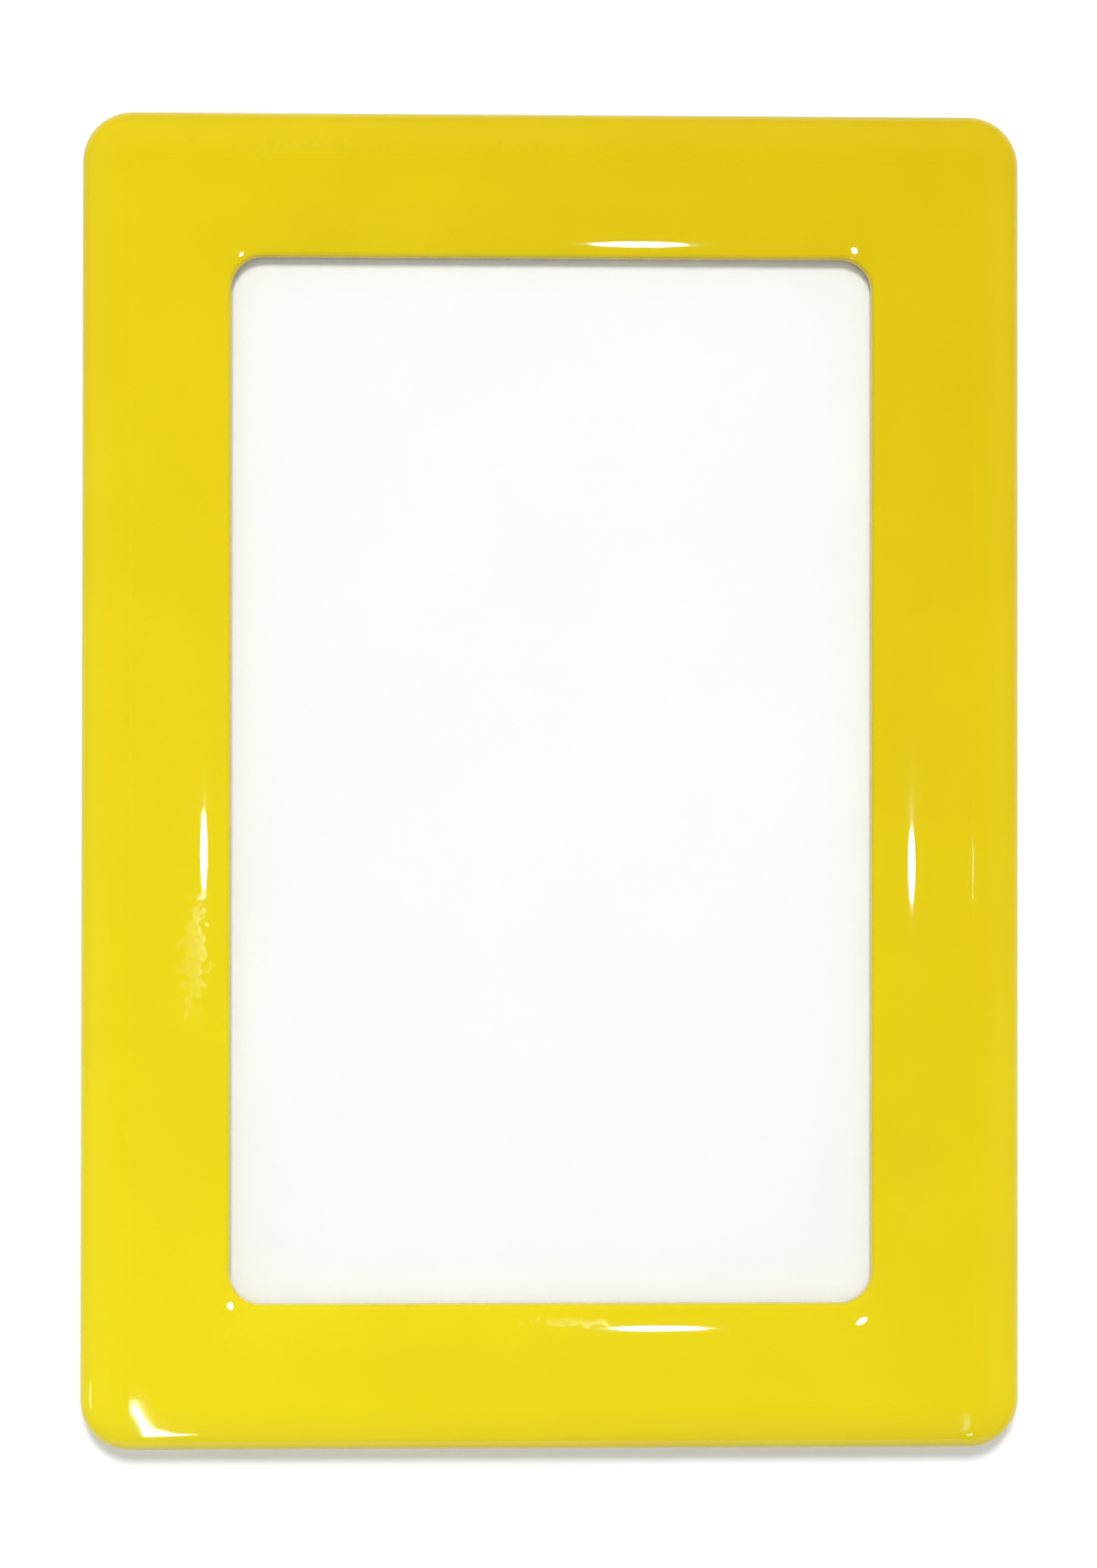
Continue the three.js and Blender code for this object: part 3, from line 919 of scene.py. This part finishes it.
@dataclass
class Pins:
    """The posts moulded behind the border, whose ends are formed over behind the back panel."""

    border: Border
    inset: float = 4.0
    end_inset: float = 15.0
    bottom_end_inset: float = 23.0
    side_count: int = 4
    bottom_count: int = 3
    boss_radius: float = 1.8
    root_depth: float = 0.3
    pin_radius: float = 1.0
    head_radius: float = 1.9
    head_undercut: float = 0.08
    head_height: float = 0.8
    flat_radius: float = 0.7
    edge: float = 0.02
    merge: float = 0.0005
    sharp_angle: float = 30.0
    sides: int = 28
    dome_steps: int = 7

    def profile(self) -> list[tuple[float, float]]:
        """Goes along one post from its root to the flat that the forming tool left.

        Returns:
            The depth and radius of each point.
        """
        layers = self.border.layers
        line = [
            (self.border.plateau - self.border.wall + self.root_depth, self.boss_radius),
            (layers.panel_front + self.edge, self.boss_radius),
            (layers.panel_front, self.pin_radius),
            (layers.panel_back, self.pin_radius),
            (layers.panel_back - self.edge, self.head_radius - self.head_undercut),
        ]
        rise = self.head_height - self.edge
        for index in range(self.dome_steps + 1):
            angle = math.pi / 2 * index / self.dome_steps
            radius = self.flat_radius + (self.head_radius - self.flat_radius) * math.cos(angle)
            line.append((layers.panel_back - self.edge - rise * math.sin(angle), radius))
        return line

    def build(self, material: Material) -> Piece:
        """Builds all the posts as one piece.

        Args:
            material: the border's plastic.

        Returns:
            The piece.
        """
        line = self.profile()
        mesh = bpy.data.meshes.new("post_profile")
        edges = [(i, i + 1) for i in range(len(line) - 1)]
        mesh.from_pydata([(0.0, -depth * MM, 0.0) for depth, _ in line], edges, [])
        girth = mesh.attributes.new("girth", "FLOAT", "POINT")
        girth.data.foreach_set("value", [radius * MM for _, radius in line])
        pins = mesh_object("border_pins", mesh)
        border = self.border
        sizes = {
            "Side Offset": (border.half_width - self.inset) * MM,
            "Side Reach": (border.half_height - self.end_inset) * MM,
            "Bottom Height": (self.inset - border.half_height) * MM,
            "Bottom Reach": (border.half_width - self.bottom_end_inset) * MM,
        }
        counts = {"Side Count": self.side_count, "Bottom Count": self.bottom_count, "Sides": self.sides}
        run_tree(pins, self.tree(sizes, counts, material), sizes | counts)
        finish_mesh(pins.data, self.merge, self.sharp_angle)
        return pins

    def tree(self, sizes: dict[str, float], counts: dict[str, int], material: Material) -> Tree:
        """Builds the tree that turns the profile into a post and sets one at each place.

        Args:
            sizes: the sizes by input name.
            counts: the counts by input name.
            material: the plastic.

        Returns:
            The tree.
        """
        tree = new_tree("formed_pins", sizes, counts)
        given = add_node(tree, "NodeGroupInput").outputs
        girth = add_node(tree, "GeometryNodeInputNamedAttribute", {"Name": "girth"}, data_type="FLOAT")
        line = add_node(tree, "GeometryNodeMeshToCurve", {"Mesh": given["Geometry"]})
        unit_ring = {"Resolution": given["Sides"], "Radius": 1.0}
        ring = add_node(tree, "GeometryNodeCurvePrimitiveCircle", unit_ring)
        sweep = {"Curve": line, "Profile Curve": ring, "Scale": girth, "Fill Caps": True}
        post = add_node(tree, "GeometryNodeCurveToMesh", sweep)
        rows = add_node(tree, "GeometryNodeJoinGeometry")
        for count, held, sign, spread, axes in (
            ("Side Count", "Side Offset", 1.0, "Side Reach", "XZ"),
            ("Side Count", "Side Offset", -1.0, "Side Reach", "XZ"),
            ("Bottom Count", "Bottom Height", 1.0, "Bottom Reach", "ZX"),
        ):
            level = add_node(tree, MATH, (given[held], sign), operation="MULTIPLY")
            ends = []
            for side in (-1.0, 1.0):
                reach = add_node(tree, MATH, (given[spread], side), operation="MULTIPLY")
                ends.append(add_node(tree, "ShaderNodeCombineXYZ", {axes[0]: level, axes[1]: reach}))
            between = {"Count": given[count], "Start Location": ends[0], "Offset": ends[1]}
            row = add_node(tree, "GeometryNodeMeshLine", between, mode="END_POINTS")
            tree.links.new(row.outputs[0], rows.inputs[0])
        posts = add_node(tree, "GeometryNodeInstanceOnPoints", {"Points": rows, "Instance": post})
        finish_tree(tree, posts, material)
        return tree


@dataclass
class Slab:
    """A flat piece with a rounded outline and softened edges.

    Attributes:
        name: the piece's name.
        middle: its middle in X and Z.
        half_width: half its size along X.
        half_height: half its size along Z.
        back: depth of its rear face.
        front: depth of its front face.
        corner_radius: of the outline.
        edge_radius: of the rounding from the faces to the rim.
        bow: how far the rim wanders in and out along its length, as cut sheet does.
        waves: the rate per millimetre and the start of that wandering, along Z and along X.
    """

    name: str
    middle: tuple[float, float]
    half_width: float
    half_height: float
    back: float
    front: float
    corner_radius: float
    edge_radius: float
    bow: float = 0.0
    waves: tuple[tuple[float, float], ...] = ((0.11, 0.7), (0.071, 2.1))
    smallest_radius: float = 0.02
    face_support: float = 0.15
    merge: float = 0.0001
    sharp_angle: float = 50.0
    corner_steps: int = 6
    edge_steps: int = 4
    side_step: float = 3.0

    def outline(self, inset: float) -> list[tuple[float, float]]:
        """Goes round the outline, moved inwards, with points along the sides as well as in the corners.

        Args:
            inset: how far inwards.

        Returns:
            X and Z of each point.
        """
        radius = max(self.corner_radius - inset, self.smallest_radius)
        wide, high = self.half_width - inset - radius, self.half_height - inset - radius
        corners = []
        for corner, (side_x, side_z) in enumerate(((1, 1), (-1, 1), (-1, -1), (1, -1))):
            for step in range(self.corner_steps + 1):
                angle = math.pi / 2 * (corner + step / self.corner_steps)
                x, z = side_x * wide + radius * math.cos(angle), side_z * high + radius * math.sin(angle)
                corners.append((x, z))
        points = []
        for here, there in zip(corners, corners[1:] + corners[:1]):
            pieces = self.side_pieces(here, there)
            for share in (index / pieces for index in range(pieces)):
                points.append(tuple(a + (b - a) * share for a, b in zip(here, there)))
        return [self.wander(x, z) for x, z in points]

    def side_pieces(self, here: tuple[float, float], there: tuple[float, float]) -> int:
        """Says into how many lengths the line between two neighbouring points is divided.

        Args:
            here: the first point.
            there: the second point.

        Returns:
            The number, which is 1 between the points of a corner.
        """
        if self.bow == 0 or math.dist(here, there) <= self.side_step:
            return 1
        is_level = abs(there[0] - here[0]) > abs(there[1] - here[1])
        return max(2, round(2 * (self.half_width if is_level else self.half_height) / self.side_step))

    def wander(self, x: float, z: float) -> tuple[float, float]:
        """Draws a point of the rim inwards a little, by slow waves along the piece.

        Args:
            x: its X.
            z: its Z.

        Returns:
            The drawn point.
        """
        (rate_z, start_z), (rate_x, start_x) = self.waves
        wave = 0.5 + 0.25 * math.sin(rate_z * z + start_z) + 0.25 * math.sin(rate_x * x + start_x)
        return x * (1 - self.bow * wave / self.half_width), z * (1 - self.bow * wave / self.half_height)

    def build(self, material: Material) -> Piece:
        """Builds the slab.

        Args:
            material: its material.

        Returns:
            The piece, not yet riding on a body.
        """
        rim = []
        for step in range(self.edge_steps + 1):
            angle = math.pi / 2 * step / self.edge_steps
            rim.append((self.edge_radius * (1 - math.sin(angle)), self.edge_radius * (1 - math.cos(angle))))
        flat_inset = self.edge_radius + self.face_support
        layers = [(flat_inset, self.back), *((inset, self.back + rise) for inset, rise in rim)]
        layers += [*((inset, self.front - rise) for inset, rise in reversed(rim)), (flat_inset, self.front)]
        middle_x, middle_z = self.middle
        work = bmesh.new()
        loops = []
        for inset, depth in layers:
            spots = (((middle_x + x) * MM, -depth * MM, (middle_z + z) * MM) for x, z in self.outline(inset))
            loops.append([work.verts.new(spot) for spot in spots])
        for lower, upper in zip(loops, loops[1:]):
            for index in range(len(lower)):
                after = (index + 1) % len(lower)
                work.faces.new((lower[index], lower[after], upper[after], upper[index]))
        work.faces.new(loops[0])
        work.faces.new(loops[-1])
        mesh = mesh_from(work, self.name)
        mesh.materials.append(material)
        finish_mesh(mesh, self.merge, self.sharp_angle)
        return mesh_object(self.name, mesh)


@dataclass
class BackPanel:
    """The moulded back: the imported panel's own shape with softened edges and the marks of its mould."""

    layers: Layers
    edge_radius: float = 0.12
    edge_segments: int = 2
    edge_angle: float = 40.0
    merge: float = 0.001
    flat_angle: float = 0.5
    mark_radius: float = 2.2
    mark_depth: float = 0.12
    mark_columns: tuple[float, ...] = (-24.0, 24.0)
    mark_rows: tuple[float, ...] = (48.0, 0.0, -48.0)
    mark_sides: int = 32

    def marks(self) -> Piece:
        """Makes the short cylinders that cut the ejector pins' marks.

        Returns:
            The cylinders, for cutting with only.
        """
        work = bmesh.new()
        radius, depth = self.mark_radius * MM, 2 * self.mark_depth * MM
        size = {"radius1": radius, "radius2": radius, "depth": depth}
        upright = Matrix.Rotation(math.pi / 2, 4, "X")
        for x, z in ((x, z) for z in self.mark_rows for x in self.mark_columns):
            place = Matrix.Translation((x * MM, -self.layers.panel_back * MM, z * MM)) @ upright
            bmesh.ops.create_cone(work, cap_ends=True, segments=self.mark_sides, matrix=place, **size)
        return mesh_object("ejector_marks", mesh_from(work, "ejector_marks"))

    def build(self, material: Material) -> None:
        """Builds the panel.

        Args:
            material: its plastic.
        """
        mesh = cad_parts["back_panel"].data.copy()
        mesh.materials.clear()
        mesh.materials.append(material)
        clean_mesh(mesh, self.merge, self.flat_angle)
        panel = mesh_object("moulded_back", mesh)
        cutter = self.marks()
        cut_away(panel, cutter)
        soften = panel.modifiers.new("edges", "BEVEL")
        soften.width = self.edge_radius * MM
        soften.segments = self.edge_segments
        soften.limit_method = "ANGLE"
        soften.angle_limit = math.radians(self.edge_angle)
        soften.harden_normals = True
        level = panel.modifiers.new("level_faces", "WEIGHTED_NORMAL")
        level.keep_sharp = True
        bake(panel)
        bpy.data.objects.remove(cutter)
        register(panel, Body.SHELL, ("back_panel",))


@dataclass
class FlatParts:
    """The pane, the card and the magnet strips with their tapes."""

    layers: Layers
    pane_half: tuple[float, float] = (52.7, 77.7)
    pane_corner: float = 1.5
    pane_bevel: float = 0.12
    card_half: tuple[float, float] = (50.8, 76.2)
    card_corner: float = 0.25
    card_edge: float = 0.06
    strip_names: tuple[str, ...] = ("left", "right", "bottom", "top_left", "top_right")
    strip_bow: float = 0.12
    magnet_corner: float = 0.6
    magnet_edge: float = 0.28
    tape_corner: float = 0.3
    tape_edge: float = 0.03

    def build_pane(self) -> None:
        """Builds the clear sheet with its polished bevels."""
        depths = (self.layers.pane_back, self.layers.pane_front)
        pane = Slab("clear_pane", (0.0, 0.0), *self.pane_half, *depths, self.pane_corner, self.pane_bevel)
        register(pane.build(ClearAcrylic().build()), Body.SHELL, ("window_pane",))

    def build_card(self) -> None:
        """Builds the blank card, whose cut edges are only just broken."""
        depths = (self.layers.card_back, self.layers.card_front)
        card = Slab("blank_card", (0.0, 0.0), *self.card_half, *depths, self.card_corner, self.card_edge)
        register(card.build(CARD_STOCK.build()), Body.CARD, ("display_card",))

    def build_strips(self) -> None:
        """Builds the five strips and the tape under each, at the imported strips' places."""
        ferrite, film = (FERRITE_UPRIGHT.build(), FERRITE_LEVEL.build()), TAPE_FILM.build()
        for name in self.strip_names:
            for part, stuff, slot, (upright, level), corner, edge in (
                ("magnet_", "ferrite_", "magnet_strip", ferrite, self.magnet_corner, self.magnet_edge),
                ("tape_", "film_", "tape_film", (film, film), self.tape_corner, self.tape_edge),
            ):
                low, high = (corner_point / MM for corner_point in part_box(part + name))
                wide, tall = (high.x - low.x) / 2, (high.z - low.z) / 2
                middle = ((high.x + low.x) / 2, (high.z + low.z) / 2)
                strip = Slab(stuff + name, middle, wide, tall, -high.y, -low.y, corner, edge, self.strip_bow)
                register(strip.build(upright if tall > wide else level), Body.SHELL, (part + name,))


class LampShape(Enum):
    """The shapes of lamp that the studio uses."""

    PANEL = "RECTANGLE"
    ROUND = "ELLIPSE"


@dataclass(frozen=True)
class Lamp:
    """One studio lamp.

    Attributes:
        name: what it is for.
        place: where it stands, in millimetres.
        width: its size along its own X, in millimetres.
        height: its size along its own Y, in millimetres.
        radiance: how bright its face is, where 1 is white paper.
        aim: the point that it faces, in millimetres.
        in_gloss: whether polished skins mirror it; the soft boxes are polarised away, the flash isn't.
        shape: a panel or a round one.
        length_along: the direction of its own Y, as far as the aim allows.
        in_diffuse: whether it lights dull surfaces; the small far ones only show in the gloss.
    """

    name: str
    place: Point
    width: float
    height: float
    radiance: float
    aim: Point = (0.0, 0.0, 0.0)
    in_gloss: bool = False
    shape: LampShape = LampShape.PANEL
    length_along: Point = (0.0, 0.0, 1.0)
    in_diffuse: bool = True

    def build(self) -> None:
        """Puts the lamp into the scene."""
        light = bpy.data.lights.new(self.name, "AREA")
        light.shape = self.shape.value
        light.size = self.width * MM
        light.size_y = self.height * MM
        filled = math.pi / 4 if self.shape is LampShape.ROUND else 1.0
        area = light.size * light.size_y
        light.energy = self.radiance * math.pi * area * filled
        lamp = bpy.data.objects.new(self.name, light)
        bpy.context.scene.collection.objects.link(lamp)
        back = (Vector(self.place) - Vector(self.aim)).normalized()
        across = Vector(self.length_along).cross(back).normalized()
        turn = Matrix((across, back.cross(across), back)).transposed()
        lamp.matrix_world = Matrix.Translation(Vector(self.place) * MM) @ turn.to_4x4()
        lamp.visible_camera = False
        lamp.visible_glossy = self.in_gloss
        lamp.visible_diffuse = self.in_diffuse


# A large lamp above, a weaker one ahead and fills all round. Of these only the flash shows in the gloss.
LAMPS = (
    Lamp("key_above", (-60.0, -1830.0, 815.0), 400.0, 400.0, 53.5),
    Lamp("fill_ahead", (0.0, -2000.0, 0.0), 600.0, 600.0, 5.0),
    Lamp("fill_low_left", (-350.0, -450.0, -350.0), 300.0, 300.0, 0.7),
    Lamp("fill_behind", (1000.0, 2000.0, 1300.0), 1400.0, 1400.0, 10.0),
    Lamp("tent_left", (-900.0, -90.0, 0.0), 400.0, 400.0, 3.4),
    Lamp("tent_right", (900.0, -90.0, 0.0), 400.0, 400.0, 5.0),
    Lamp("tent_top", (0.0, -90.0, 900.0), 400.0, 400.0, 1.0),
    Lamp("tent_low", (0.0, -90.0, -900.0), 400.0, 400.0, 2.2),
    Lamp("flash", (39.8, -500.0, -14.0), 23.5, 17.8, 90.0, in_gloss=True, shape=LampShape.ROUND),
)

# In its bottom left corner the border mirrors a bent tube whose foot narrows to the right.
CORNER_LEFT: Point = (-51.0, -6.5, -80.0)
TUBE_PATH: tuple[Point, ...] = (
    (-86.7, -431.0, -141.8),
    (-86.3, -422.9, -183.8),
    (-85.2, -392.0, -269.8),
    (-83.6, -345.0, -346.8),
    (-82.1, -262.0, -428.8),
)
TUBE_WIDTHS = (1.9, 2.9, 3.6, 4.2)
TUBE_RADIANCE = 34.0
FOOT_WIDTH = 2.2
FOOT_PARTS: tuple[tuple[Point, float], ...] = (
    ((-79.9, -305.0, -392.8), 88.0),
    ((-77.9, -290.0, -405.3), 48.0),
    ((-75.9, -287.0, -407.8), 27.0),
    ((-73.9, -291.0, -403.8), 12.0),
)
# The edge beside it mirrors a far window, and the bottom right corner a dim curtain and a small spot.
EDGE_LEFT: Point = (-57.6, -5.8, -77.9)
CORNER_RIGHT: Point = (52.2, -6.5, -80.6)
ALONG_ROLL: Point = (0.0, -0.6, 0.8)
UPRIGHT: Point = (0.0, 0.0, 1.0)


def highlights() -> list[Lamp]:
    """Makes the lamps whose mirror images are the small highlights along the border's bottom.

    Returns:
        The lamps.
    """
    listed = []
    for number, (start, end, width) in enumerate(zip(TUBE_PATH, TUBE_PATH[1:], TUBE_WIDTHS), 1):
        middle = tuple((a + b) / 2 for a, b in zip(start, end))
        along = tuple(a - b for a, b in zip(start, end))
        length = math.dist(start, end)
        listed.append((f"tube_{number}", middle, width, length, TUBE_RADIANCE, CORNER_LEFT, along))
    for number, (place, length) in enumerate(FOOT_PARTS, 1):
        name = f"tube_foot_{number}"
        listed.append((name, place, FOOT_WIDTH, length, TUBE_RADIANCE, CORNER_LEFT, ALONG_ROLL))
    listed += [
        ("far_window", (-425.0, -212.0, -169.0), 34.0, 64.0, 8.0, EDGE_LEFT, UPRIGHT),
        ("curtain", (108.5, -350.0, -316.2), 3.4, 200.0, 1.6, CORNER_RIGHT, ALONG_ROLL),
        ("curtain_middle", (108.5, -342.0, -328.2), 1.8, 120.0, 2.0, CORNER_RIGHT, ALONG_ROLL),
        ("spot", (119.3, -248.4, -429.1), 13.0, 20.0, 45.0, CORNER_RIGHT, UPRIGHT),
    ]
    return [Lamp(*facts, in_gloss=True, length_along=along, in_diffuse=False) for *facts, along in listed]


@dataclass
class Studio:
    """The wall that the frame hangs on, the floor, the lamps and the camera.

    Colours are sRGB, heights and distances are in millimetres, and a level or a glow of 1 is white.

    Attributes:
        wall_behind: how far the wall stands behind the magnets, so that they don't share a plane.
        wall_painted_shade: the colour of a band above the frame, painted darker as painted shade, against which
            a white card stands out.
        wall_glow: what is added to the wall's lit colour.
        shade_from: the heights between which the band begins.
        shade_to: the heights between which it ends.
        room_level: the room's light from all sides.
        room_level_ahead: the same straight in front of the frame, which the flat of the border mirrors.
        room_seen_from_behind: what a camera behind the frame sees of the room.
        fully_behind: cosine of the angle from straight ahead at which the room counts as behind the frame.
        dark_angle: the angle from straight ahead up to which the room is dim, in degrees.
        bright_angle: the angle from which it has its full level.
        camera_yaw: how far the camera turns to the right, in degrees; its tilt and roll follow.
    """

    wall_half: float = 700.0
    wall_behind: float = 0.3
    wall_colour: str = "f1f2f6"
    wall_painted_shade: str = "d8dadf"
    wall_glow: float = 0.08
    shade_from: tuple[float, float] = (104.0, 180.0)
    shade_to: tuple[float, float] = (280.0, 600.0)
    floor_height: float = -1200.0
    floor_half: float = 700.0
    floor_reach: float = 400.0
    floor_colour: str = "efeeec"
    floor_glow: float = 0.35
    room_level: float = 0.28
    room_level_ahead: float = 0.13
    room_seen_from_behind: float = 0.86
    fully_behind: float = -0.2
    dark_angle: float = 12.0
    bright_angle: float = 35.0
    camera_place: Point = (-15.4, -500.0, -5.5)
    camera_yaw: float = 1.738
    camera_pitch: float = 0.583
    camera_roll: float = -0.057
    lens: float = 90.39
    sensor_width: float = 36.0
    clip: tuple[float, float] = (10.0, 10_000.0)
    lamps: tuple[Lamp, ...] = field(default_factory=lambda: (*LAMPS, *highlights()))

    def plane(self, name: str, corners: list[Point], colour: str, shade: str, glow: float) -> None:
        """Makes a pale stage surface that keeps the object's shadow.

        The camera, gloss and glass see it, and only from its front; the room's other light passes through it.

        Args:
            name: the surface's name.
            corners: its corners in millimetres, anticlockwise from the side that shows.
            colour: sRGB.
            shade: sRGB of a band above the frame, painted darker as painted shade.
            glow: what is added to its lit colour, where 1 is white.
        """
        mesh = bpy.data.meshes.new(name)
        mesh.from_pydata([tuple(value * MM for value in corner) for corner in corners], [], [(0, 1, 2, 3)])
        material, tree, place = new_material(name + "_paint")
        path = add_node(tree, "ShaderNodeLightPath").outputs
        indirect = (path["Is Glossy Ray"], path["Is Transmission Ray"])
        mirrored = add_node(tree, MATH, indirect, operation="MAXIMUM")
        seen = add_node(tree, MATH, (path["Is Camera Ray"], mirrored), operation="MAXIMUM")
        height = add_node(tree, "ShaderNodeSeparateXYZ", {"Vector": place}).outputs["Z"]
        # Painted shade: the surface is painted darker in a band above the frame, as if the light fell off
        # there.
        edges = []
        for start, end in (self.shade_from, self.shade_to):
            between = {"Value": height, "From Min": start * MM, "From Max": end * MM}
            edges.append(add_node(tree, RANGE, between, interpolation_type="SMOOTHSTEP"))
        band = add_node(tree, MATH, (edges[0], edges[1]), operation="SUBTRACT")
        tone = add_node(tree, MIX, {0: band, 6: linear(colour), 7: linear(shade)}, data_type="RGBA")
        paint = add_node(tree, "ShaderNodeBsdfDiffuse", {"Color": tone})
        strength = add_node(tree, MATH, (seen, glow), operation="MULTIPLY")
        shine = add_node(tree, "ShaderNodeEmission", {"Strength": strength})
        lit = add_node(tree, "ShaderNodeAddShader", (paint, shine))
        behind = add_node(tree, "ShaderNodeNewGeometry").outputs["Backfacing"]
        shown = add_node(tree, MATH, (seen, behind), operation="SUBTRACT", use_clamp=True)
        gone = add_node(tree, "ShaderNodeBsdfTransparent")
        paper = add_node(tree, "ShaderNodeMixShader", (shown, gone, lit))
        add_node(tree, "ShaderNodeOutputMaterial", {"Surface": paper})
        mesh.materials.append(material)
        surface = mesh_object(name, mesh)
        surface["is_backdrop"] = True

    def build_camera(self) -> None:
        """Places the camera where the photograph was taken from."""
        data = bpy.data.cameras.new("front_camera")
        data.lens = self.lens
        data.sensor_width = self.sensor_width
        data.clip_start, data.clip_end = (distance * MM for distance in self.clip)
        camera = bpy.data.objects.new("front_camera", data)
        bpy.context.scene.collection.objects.link(camera)
        yaw, pitch = math.radians(self.camera_yaw), math.radians(self.camera_pitch)
        ahead = Vector((math.sin(yaw) * math.cos(pitch), math.cos(yaw) * math.cos(pitch), math.sin(pitch)))
        roll = Matrix.Rotation(math.radians(self.camera_roll), 4, ahead)
        turn = ahead.to_track_quat("-Z", "Y").to_matrix().to_4x4()
        camera.matrix_world = Matrix.Translation(Vector(self.camera_place) * MM) @ roll @ turn
        bpy.context.scene.camera = camera

    def build_world(self) -> None:
        """Makes the pale surroundings: white behind the frame, and dimmer in front of it."""
        world = bpy.data.worlds.new("pale_room")
        world.use_nodes = True
        tree = world.node_tree
        tree.nodes.clear()
        direction = add_node(tree, "ShaderNodeTexCoord").outputs["Generated"]
        ahead = add_node(tree, VECTOR_MATH, (direction, (0.0, -1.0, 0.0)), operation="DOT_PRODUCT")
        dimming = {
            "Value": ahead,
            "From Min": math.cos(math.radians(self.bright_angle)),
            "From Max": math.cos(math.radians(self.dark_angle)),
            "To Min": self.room_level,
            "To Max": self.room_level_ahead,
        }
        level = add_node(tree, RANGE, dimming, interpolation_type="SMOOTHSTEP")
        path = add_node(tree, "ShaderNodeLightPath").outputs
        indirect = (path["Is Glossy Ray"], path["Is Transmission Ray"])
        mirrored = add_node(tree, MATH, indirect, operation="MAXIMUM")
        away = add_node(tree, RANGE, {"Value": ahead, "From Min": 0.0, "From Max": self.fully_behind})
        backdrop = add_node(tree, MATH, (mirrored, away), operation="MULTIPLY")
        shown = add_node(tree, RANGE, {"Value": away, "To Min": self.room_seen_from_behind})
        watched = add_node(tree, MATH, (path["Is Camera Ray"], shown), operation="MULTIPLY")
        white = add_node(tree, MATH, (watched, backdrop), operation="MAXIMUM")
        strength = add_node(tree, MATH, (level, white), operation="MAXIMUM")
        room = add_node(tree, "ShaderNodeBackground", {"Color": linear("ffffff"), "Strength": strength})
        add_node(tree, "ShaderNodeOutputWorld", {"Surface": room})
        bpy.context.scene.world = world

    def build(self) -> None:
        """Builds the wall, the floor, the surroundings, the lamps and the camera."""
        half, back = self.wall_half, self.wall_behind
        wall = [(-half, back, -half), (half, back, -half), (half, back, half), (-half, back, half)]
        self.plane("pale_wall", wall, self.wall_colour, self.wall_painted_shade, self.wall_glow)
        wide, low, reach = self.floor_half, self.floor_height, self.floor_reach
        floor = [(-wide, -reach, low), (wide, -reach, low), (wide, back, low), (-wide, back, low)]
        self.plane("pale_floor", floor, self.floor_colour, self.floor_colour, self.floor_glow)
        for lamp in self.lamps:
            lamp.build()
        self.build_world()
        self.build_camera()
        bpy.context.scene.view_settings.view_transform = "Standard"


def main() -> None:
    """Builds every piece in order, then the studio."""
    logging.basicConfig(level=logging.INFO, format="%(message)s")
    layers = Layers()
    Border(layers).build(GlossAbs().build())
    BackPanel(layers).build(TEXTURED_ABS.build())
    parts = FlatParts(layers)
    parts.build_pane()
    parts.build_card()
    parts.build_strips()
    Studio().build()
    boxes = {"cad": [list(corner) for corner in CAD_BOX], "scene": [list(corner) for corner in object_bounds()]}
    for name, (low, high) in boxes.items():
        LOG.info("%s box, mm: %s", name, [round((b - a) / MM, 3) for a, b in zip(low, high)])


if __name__ == "__main__":
    main()
